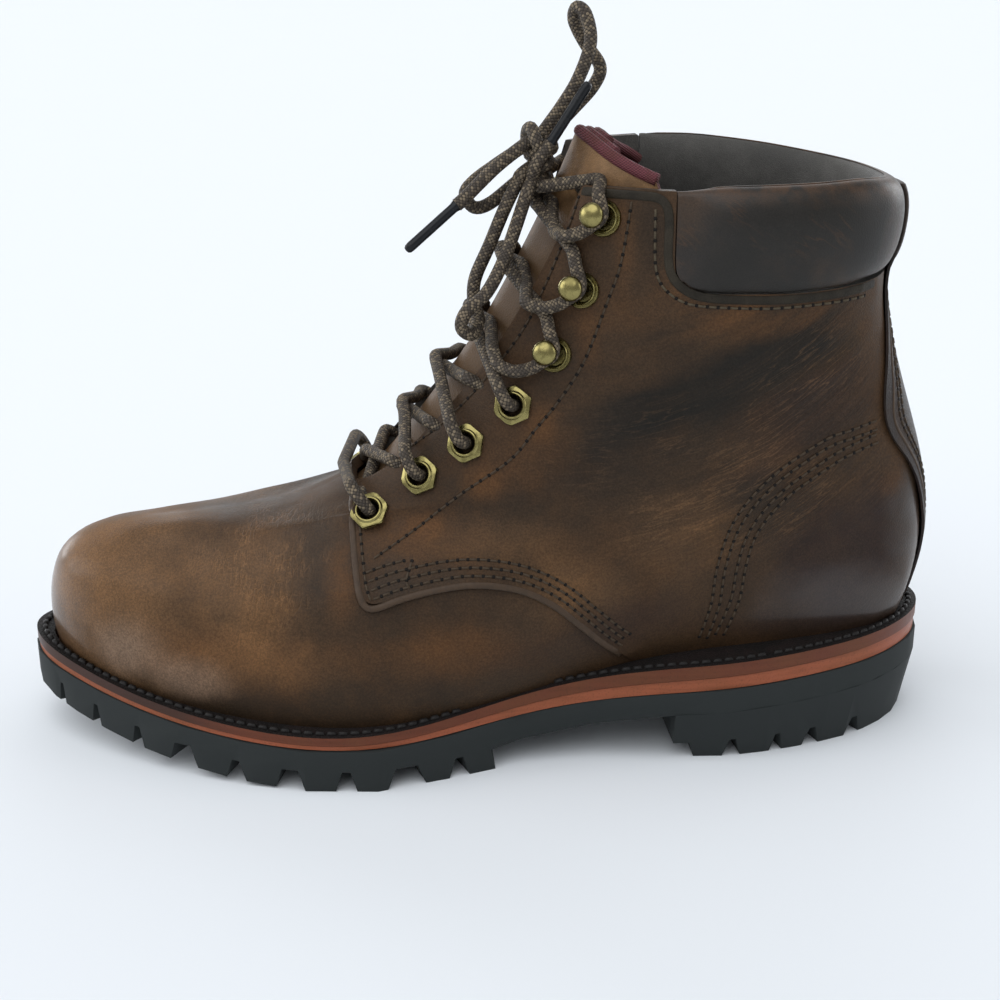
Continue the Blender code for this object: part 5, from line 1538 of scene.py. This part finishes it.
class BOOT_OT_sole(bpy.types.Operator):
    """Build the welt with its lockstitch, the burnished midsole, the lugged rubber and the insole"""
    bl_idname = "boot.sole"
    bl_label = "Sole"

    def execute(self, context):
        s, c = sizes(), colours()
        welt = smooth_copy("welt", "welt_strip", 40)
        # Round the toe the welt's wall turns nearly black: partly a stand-in for more of the welt's black
        # top, partly painted shadow of the gap above it.
        settle(welt, "welt_leather",
               leather_plain("waxed_welt", c.welt, c.welt, c.hide_plum, 0.03, 0.50, 1.3 * MM, 0.25),
               midsole_finish("burnished_welt_edge", toned(c.midsole, 0.42), toned(c.welt, 1.4)))
        give_second_finish(welt, np.abs(faces_of(welt.data, "normal")[:, 2]) < 0.6)
        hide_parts("welt")
        pitch = s.welt_stitch + WELT_STITCH_GAP
        lock = stitch_rows("welt_lockstitch", [welt_line(WELT_SEAM_INSET)], s.welt_stitch, pitch,
                           0.5 * WELT_STITCH_GAP, s.welt_thread, s.welt_thread)
        settle(lock, "welt_leather", plain_finish("waxed_thread", toned(c.welt, 1.3), 0.50, 700.0))
        midsole = smooth_copy("midsole", "midsole_edge", 40)
        settle(midsole, "midsole_leather", midsole_finish("burnished_midsole_edge", c.midsole))
        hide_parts("midsole")
        heel_spots = spots_of(NODES["heel"].data)
        steps = np.linspace(heel_spots[:, 0].min(), heel_spots[:, 0].max(), 16)
        tops = highest(heel_spots, steps, 8 * MM)

        def heel_joint(spot):
            top = float(np.interp(spot.x, steps, tops))
            return spot.x > steps[0] - MM and abs(spot.z - top) < HEEL_JOINT_REACH

        for node, name, slot in (("outsole", "lugged_outsole", "sole_rubber"),
                                 ("heel", "heel_block", "heel_rubber")):
            piece = bevelled_copy(node, name, RUBBER_BEVEL, heel_joint)
            settle(piece, slot, finish(rubber_finish, "sole_rubber"))
            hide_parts(node)
        insole = NODES["insole"]
        insole.data.materials.clear()
        insole.data.materials.append(lining_finish())
        return {"FINISHED"}


class Hold:
    """Place of one eyelet or hook: its seat, its normal, up along the throat and towards the throat."""

    def __init__(self, spot, normal):
        self.spot = np.array(spot)
        self.normal = unit(np.array(normal))
        up = np.array(UP_THROAT)
        self.up = unit(up - self.normal * (up @ self.normal))
        toward = np.cross(self.normal, self.up)
        self.toward = toward * (1 if toward @ np.array(OUT_THROAT) > 0 else -1)

    def at(self, out, toward=0.0, up=0.0):
        """A point near the hold, in millimetres off the leather, towards the throat and up."""
        return self.spot + MM * (out * self.normal + toward * self.toward + up * self.up)


def eyelet_hold(row, side):
    spots = spots_of(NODES[f"eyelet_{SIDE_NAME[side]}_{row}"].data)
    middle = spots.mean(axis=0)
    normal = np.linalg.svd(spots - middle)[2][2]
    if normal[1] * side < 0:
        normal = -normal
    reach = (spots - middle) @ normal
    return Hold(middle + normal * reach.max(), normal)


def hook_hold(row, side, tree):
    x, z = HOOK_SPOTS[row - 1]
    return Hold(*look(tree, x * MM, z * MM, side))


class BOOT_OT_eyelets(bpy.types.Operator):
    """Set the eight six sided brass eyelets"""
    bl_idname = "boot.eyelets"
    bl_label = "Eyelets"

    def execute(self, context):
        outline = ((3.35, -4.6), (3.30, -0.9), (3.35, -0.3), (3.60, 0.10), (3.95, 0.22), (4.35, 0.10),
                   (4.60, -0.30), (4.80, -0.48), (6.10, -0.70), (6.55, -1.15), (6.55, -1.90),
                   (3.75, -1.90), (3.65, -4.6), (3.35, -4.6))
        pattern = spun("eyelet_pattern", outline, 48)
        flat = 5.75 * MM
        bpy.ops.object.mode_set(mode="EDIT")
        for turn in np.arange(6) * math.pi / 3:
            aim = Vector((math.cos(turn), math.sin(turn), 0.0))
            bpy.ops.mesh.select_all(action="SELECT")
            bpy.ops.mesh.bisect(plane_co=aim * flat, plane_no=aim, use_fill=True, clear_outer=True)
        stop_editing()
        shape(pattern, "BEVEL", "Worn corners", width=0.18 * MM, segments=2, angle_limit=math.radians(32))
        smooth_within(35)
        for side in SIDES:
            for row in range(1, EYELET_ROWS + 1):
                hold = eyelet_hold(row, side)
                name = f"eyelet_{SIDE_NAME[side]}_{row}"
                piece = placed(pattern, "brass_" + name, seat(hold.spot, hold.normal, hold.up))
                settle(piece, "brass", finish(brass_finish, "worn_brass"))
                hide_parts(name)
        bpy.data.objects.remove(pattern)
        return {"FINISHED"}


class BOOT_OT_hooks(bpy.types.Operator):
    """Rivet on the six ball headed lace hooks"""
    bl_idname = "boot.hooks"
    bl_label = "Hooks"

    def execute(self, context):
        tree = surface(bpy.data.objects["upper_hide"])
        lean, ball, ball_flat, ball_lean, ball_rise = 2.8 * MM, 3.95 * MM, 0.62, 1.2 * MM, 7.9 * MM
        hollow_wide, hollow_high = 3.75 * MM, 0.4 * MM
        base = spun("hook_base", ((0.0, 0.15), (3.5, 0.15), (3.9, 0.50), (4.05, 1.10), (4.30, 1.35),
                                  (4.55, 1.10), (4.70, 0.75), (4.95, 0.75), (5.10, 1.00), (5.40, 1.00),
                                  (5.65, 0.60), (5.70, 0.0), (5.60, -0.6), (0.0, -0.6)), 40)
        neck = spun("hook_neck", ((0.0, 0.1), (1.8, 0.1), (1.3, 1.6), (1.25, 4.4), (1.6, 6.0), (2.1, 7.0),
                                  (0.0, 7.2)), 20)
        neck.data.transform(Matrix.Translation((lean, 0, 0)))
        bpy.ops.object.select_all(action="DESELECT")
        bpy.ops.mesh.primitive_uv_sphere_add(segments=32, ring_count=16, radius=ball)
        head = context.object
        bpy.ops.object.mode_set(mode="EDIT")
        bpy.ops.transform.resize(value=(1.0, 1.0, ball_flat), center_override=(0, 0, 0))
        bpy.ops.transform.translate(value=(ball_lean, 0, ball_rise))
        stop_editing()
        bpy.ops.object.shade_smooth()
        join_pieces(base, (neck, head))
        # Painted shadow: the flat middle of the base, under the ball, gets a near black finish for the
        # shadow there.
        x, y, z = faces_of(base.data, "center").T
        give_second_finish(base, (np.hypot(x, y) < hollow_wide) & (z > 0) & (z < hollow_high))
        for side in SIDES:
            for row in range(1, len(HOOK_SPOTS) + 1):
                name = f"hook_{SIDE_NAME[side]}_{row}"
                hold = hook_hold(row, side, tree)
                piece = placed(base, "brass_" + name, seat(hold.spot, hold.normal, hold.toward))
                settle(piece, "brass", finish(brass_finish, "worn_brass"),
                       finish(plain_finish, "hook_hollow", colours().welt, 0.5, 800.0))
                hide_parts(name)
        bpy.data.objects.remove(base)
        return {"FINISHED"}


def over_tongue(tree, height, across, lift):
    """A point over the tongue: how far up the throat, how far across and how far off the leather."""
    start = UP_THROAT * height + OUT_THROAT * ABOVE_THROAT + Vector((0, across, 0))
    spot, _, _, _ = tree.ray_cast(start, -OUT_THROAT)
    return np.array(spot) + lift * np.array(OUT_THROAT)


def ease(points, softness):
    """Rounds the corners of a taut line."""
    line = np.array(points)
    run = run_length(line)
    fine = between(np.arange(0, run[-1], SEAM_STEP), run, line)
    reach = int(3 * softness / SEAM_STEP)
    weight = np.exp(-0.5 * (np.arange(-reach, reach + 1) * SEAM_STEP / softness) ** 2)
    weight /= weight.sum()
    padded = np.vstack([np.repeat(fine[:1], reach, 0), fine, np.repeat(fine[-1:], reach, 0)])
    smooth = np.column_stack([np.convolve(column, weight, "valid") for column in padded.T])
    return smooth[::2]


def edge_reach(hold, tree):
    """How far it is from a hold to the cut edge of the facing, in millimetres."""
    nearest, farthest, usual, above, deep = 6, 26, 14, 8.0, 14 * MM
    for reach in range(nearest, farthest):
        start = hold.at(above, reach)
        spot, _, _, _ = tree.ray_cast(Vector(start), -Vector(hold.normal), deep)
        if spot is None:
            return reach
    return usual


def resting(hold, toward, up, lift, *trees):
    """A point of the lace lying on the leather near a hold, in millimetres from it."""
    above, deep, usual = 25.0, 45 * MM, 21 * MM
    start = Vector(hold.at(above, toward, up))
    down = -Vector(hold.normal)
    hits = [tree.ray_cast(start, down, deep) for tree in trees]
    near = min((distance for spot, _, _, distance in hits if spot is not None), default=usual)
    return np.array(start + down * (near - sizes().lace / 2 - lift * MM))


# Places of the lace near an eyelet, in millimetres: off the leather, towards the throat and up.
FROM_BAR = ((5.5, 8.0, 1.0), (4.6, 3.0, 0.0), (1.5, 0.0, 0.0), (-4.6, 0.0, 0.0))
UNDER_FACING = (-5.2, 7.0, 2.0)
THROUGH_EYELET = ((-6.2, 3.0, -0.5), (-4.8, 0.0, 0.0), (1.0, 0.0, 0.0), (4.0, 1.6, 0.4), (5.2, 6.0, 3.0))
# Over the tongue: share of the rise, millimetres across, lift, and what the outer strand adds to it.
OVER_TONGUE = ((0.0, -9, 2.6, 2.4), (0.12, 0, 0.6, 4.4), (0.22, 9, 0.2, 1.6))
# At a hook, where the lace rests on the leather: towards the throat, up and off it. Round the hook's neck:
# off the leather, towards the throat and up. Into the knot: from the knot's middle.
TO_HOOK = ((17.0, -10.5, 2.4), (11.0, -13.0, 4.5), (5.5, -11.0, 3.6), (2.2, -7.0, 1.6))
ROUND_HOOK = ((3.7, 0.6, -2.6), (3.7, -0.8, 0.0), (3.7, 0.6, 2.6), (3.6, 4.4, 5.0))
FROM_HOOK = (9.0, 8.5, 0.2)
INTO_KNOT = ((-1.0, 8.0, -7.0), (0.5, 3.5, -3.6))


def half_lace(side, holds, tongue, upper):
    """One half of the lace from the middle of the bottom bar to the knot."""
    r = sizes().lace / 2
    steps = [np.array(UP_THROAT) @ h.spot for h in holds[LATERAL]]
    points = [over_tongue(tongue, steps[0] + 1 * MM, 0.0, r + 6.0 * MM)]
    first = holds[side][0]
    points += [first.at(*place) for place in FROM_BAR]
    here = side
    for row in range(1, len(steps)):
        there = -here
        below, hold = holds[here][row - 1], holds[there][row]
        rise = steps[row] - steps[row - 1]
        outer = 1.0 if here == LATERAL else 0.0
        if row == 1:
            points.append(below.at(*UNDER_FACING))
            points.append(over_tongue(tongue, steps[0] + 0.5 * rise, 0.0, r + (1 - outer) * 2 * r))
        else:
            crest = steps[row - 1] + (0.50 + 0.06 * outer) * rise
            for up, across, low, more in OVER_TONGUE:
                lift = r + (low + more * outer) * MM
                points.append(over_tongue(tongue, crest + up * rise, there * across * MM, lift))
        if row < EYELET_ROWS:
            edge = edge_reach(hold, upper)
            points += [hold.at(-4.4, edge + 1.0, -3.0), hold.at(-6.2, edge - 5.0, -2.0)]
            points += [hold.at(*place) for place in THROUGH_EYELET]
        else:
            points += [resting(hold, *place, upper, tongue) for place in TO_HOOK]
            points += [hold.at(*place) for place in ROUND_HOOK]
            points.append(resting(hold, *FROM_HOOK, upper, tongue))
        here = there
    points += [np.array(KNOT) + np.array((x, here * y, z)) * MM for x, y, z in INTO_KNOT]
    return points


class BOOT_OT_lacing(bpy.types.Operator):
    """Run one round lace through the eyelets and round the hooks"""
    bl_idname = "boot.lacing"
    bl_label = "Lacing"

    def execute(self, context):
        upper = surface(bpy.data.objects["upper_hide"])
        tongue = surface(bpy.data.objects["tongue_hide"])
        holds = {}
        for side in SIDES:
            holds[side] = [eyelet_hold(row, side) for row in range(1, EYELET_ROWS + 1)]
            holds[side] += [hook_hold(row, side, upper) for row in range(1, len(HOOK_SPOTS) + 1)]
        lateral, medial = (half_lace(side, holds, tongue, upper) for side in SIDES)
        route = ease(lateral[::-1] + medial[1:], 1.3 * MM)
        piece = settle(tube("lacing", route, sizes().lace / 2), "lace_cord", lace_finish())
        names = ["lace_bar", "lace_tie_outer", "lace_tie_inner"]
        names += [f"lace_cross_{i}" for i in range(1, 7)]
        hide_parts(*names)
        return {"FINISHED"}


class BOOT_PT_panel(bpy.types.Panel):
    """Sidebar list of the boot's building steps"""
    bl_idname = "BOOT_PT_panel"
    bl_label = "Work Boot"
    bl_space_type = "VIEW_3D"
    bl_region_type = "UI"
    bl_category = "Work Boot"

    def draw(self, context):
        for step in STEPS:
            self.layout.operator(step.bl_idname)
        for group in ("boot_sizes", "boot_colours", "boot_stage"):
            settings = getattr(context.scene, group)
            for name in settings.__annotations__:
                self.layout.prop(settings, name)


STEPS = (BOOT_OT_stage, BOOT_OT_bow, BOOT_OT_upper, BOOT_OT_edges, BOOT_OT_collar, BOOT_OT_tongue,
         BOOT_OT_backstay, BOOT_OT_stitching, BOOT_OT_sole, BOOT_OT_eyelets, BOOT_OT_hooks,
         BOOT_OT_lacing)
GROUPS = (BootSizes, BootColours, BootStage)


def register():
    for item in GROUPS + STEPS + (BOOT_PT_panel,):
        bpy.utils.register_class(item)
    bpy.types.Scene.boot_sizes = PointerProperty(type=BootSizes)
    bpy.types.Scene.boot_colours = PointerProperty(type=BootColours)
    bpy.types.Scene.boot_stage = PointerProperty(type=BootStage)


def unregister():
    for name in ("boot_sizes", "boot_colours", "boot_stage"):
        delattr(bpy.types.Scene, name)
    for item in reversed(GROUPS + STEPS + (BOOT_PT_panel,)):
        bpy.utils.unregister_class(item)


def main():
    register()
    build_groups()
    bpy.ops.boot.stage()
    bpy.ops.boot.bow()
    bpy.ops.boot.upper()
    bpy.ops.boot.edges()
    bpy.ops.boot.collar()
    bpy.ops.boot.tongue()
    bpy.ops.boot.backstay()
    bpy.ops.boot.stitching()
    bpy.ops.boot.sole()
    bpy.ops.boot.eyelets()
    bpy.ops.boot.hooks()
    bpy.ops.boot.lacing()


if __name__ == "__main__":
    main()
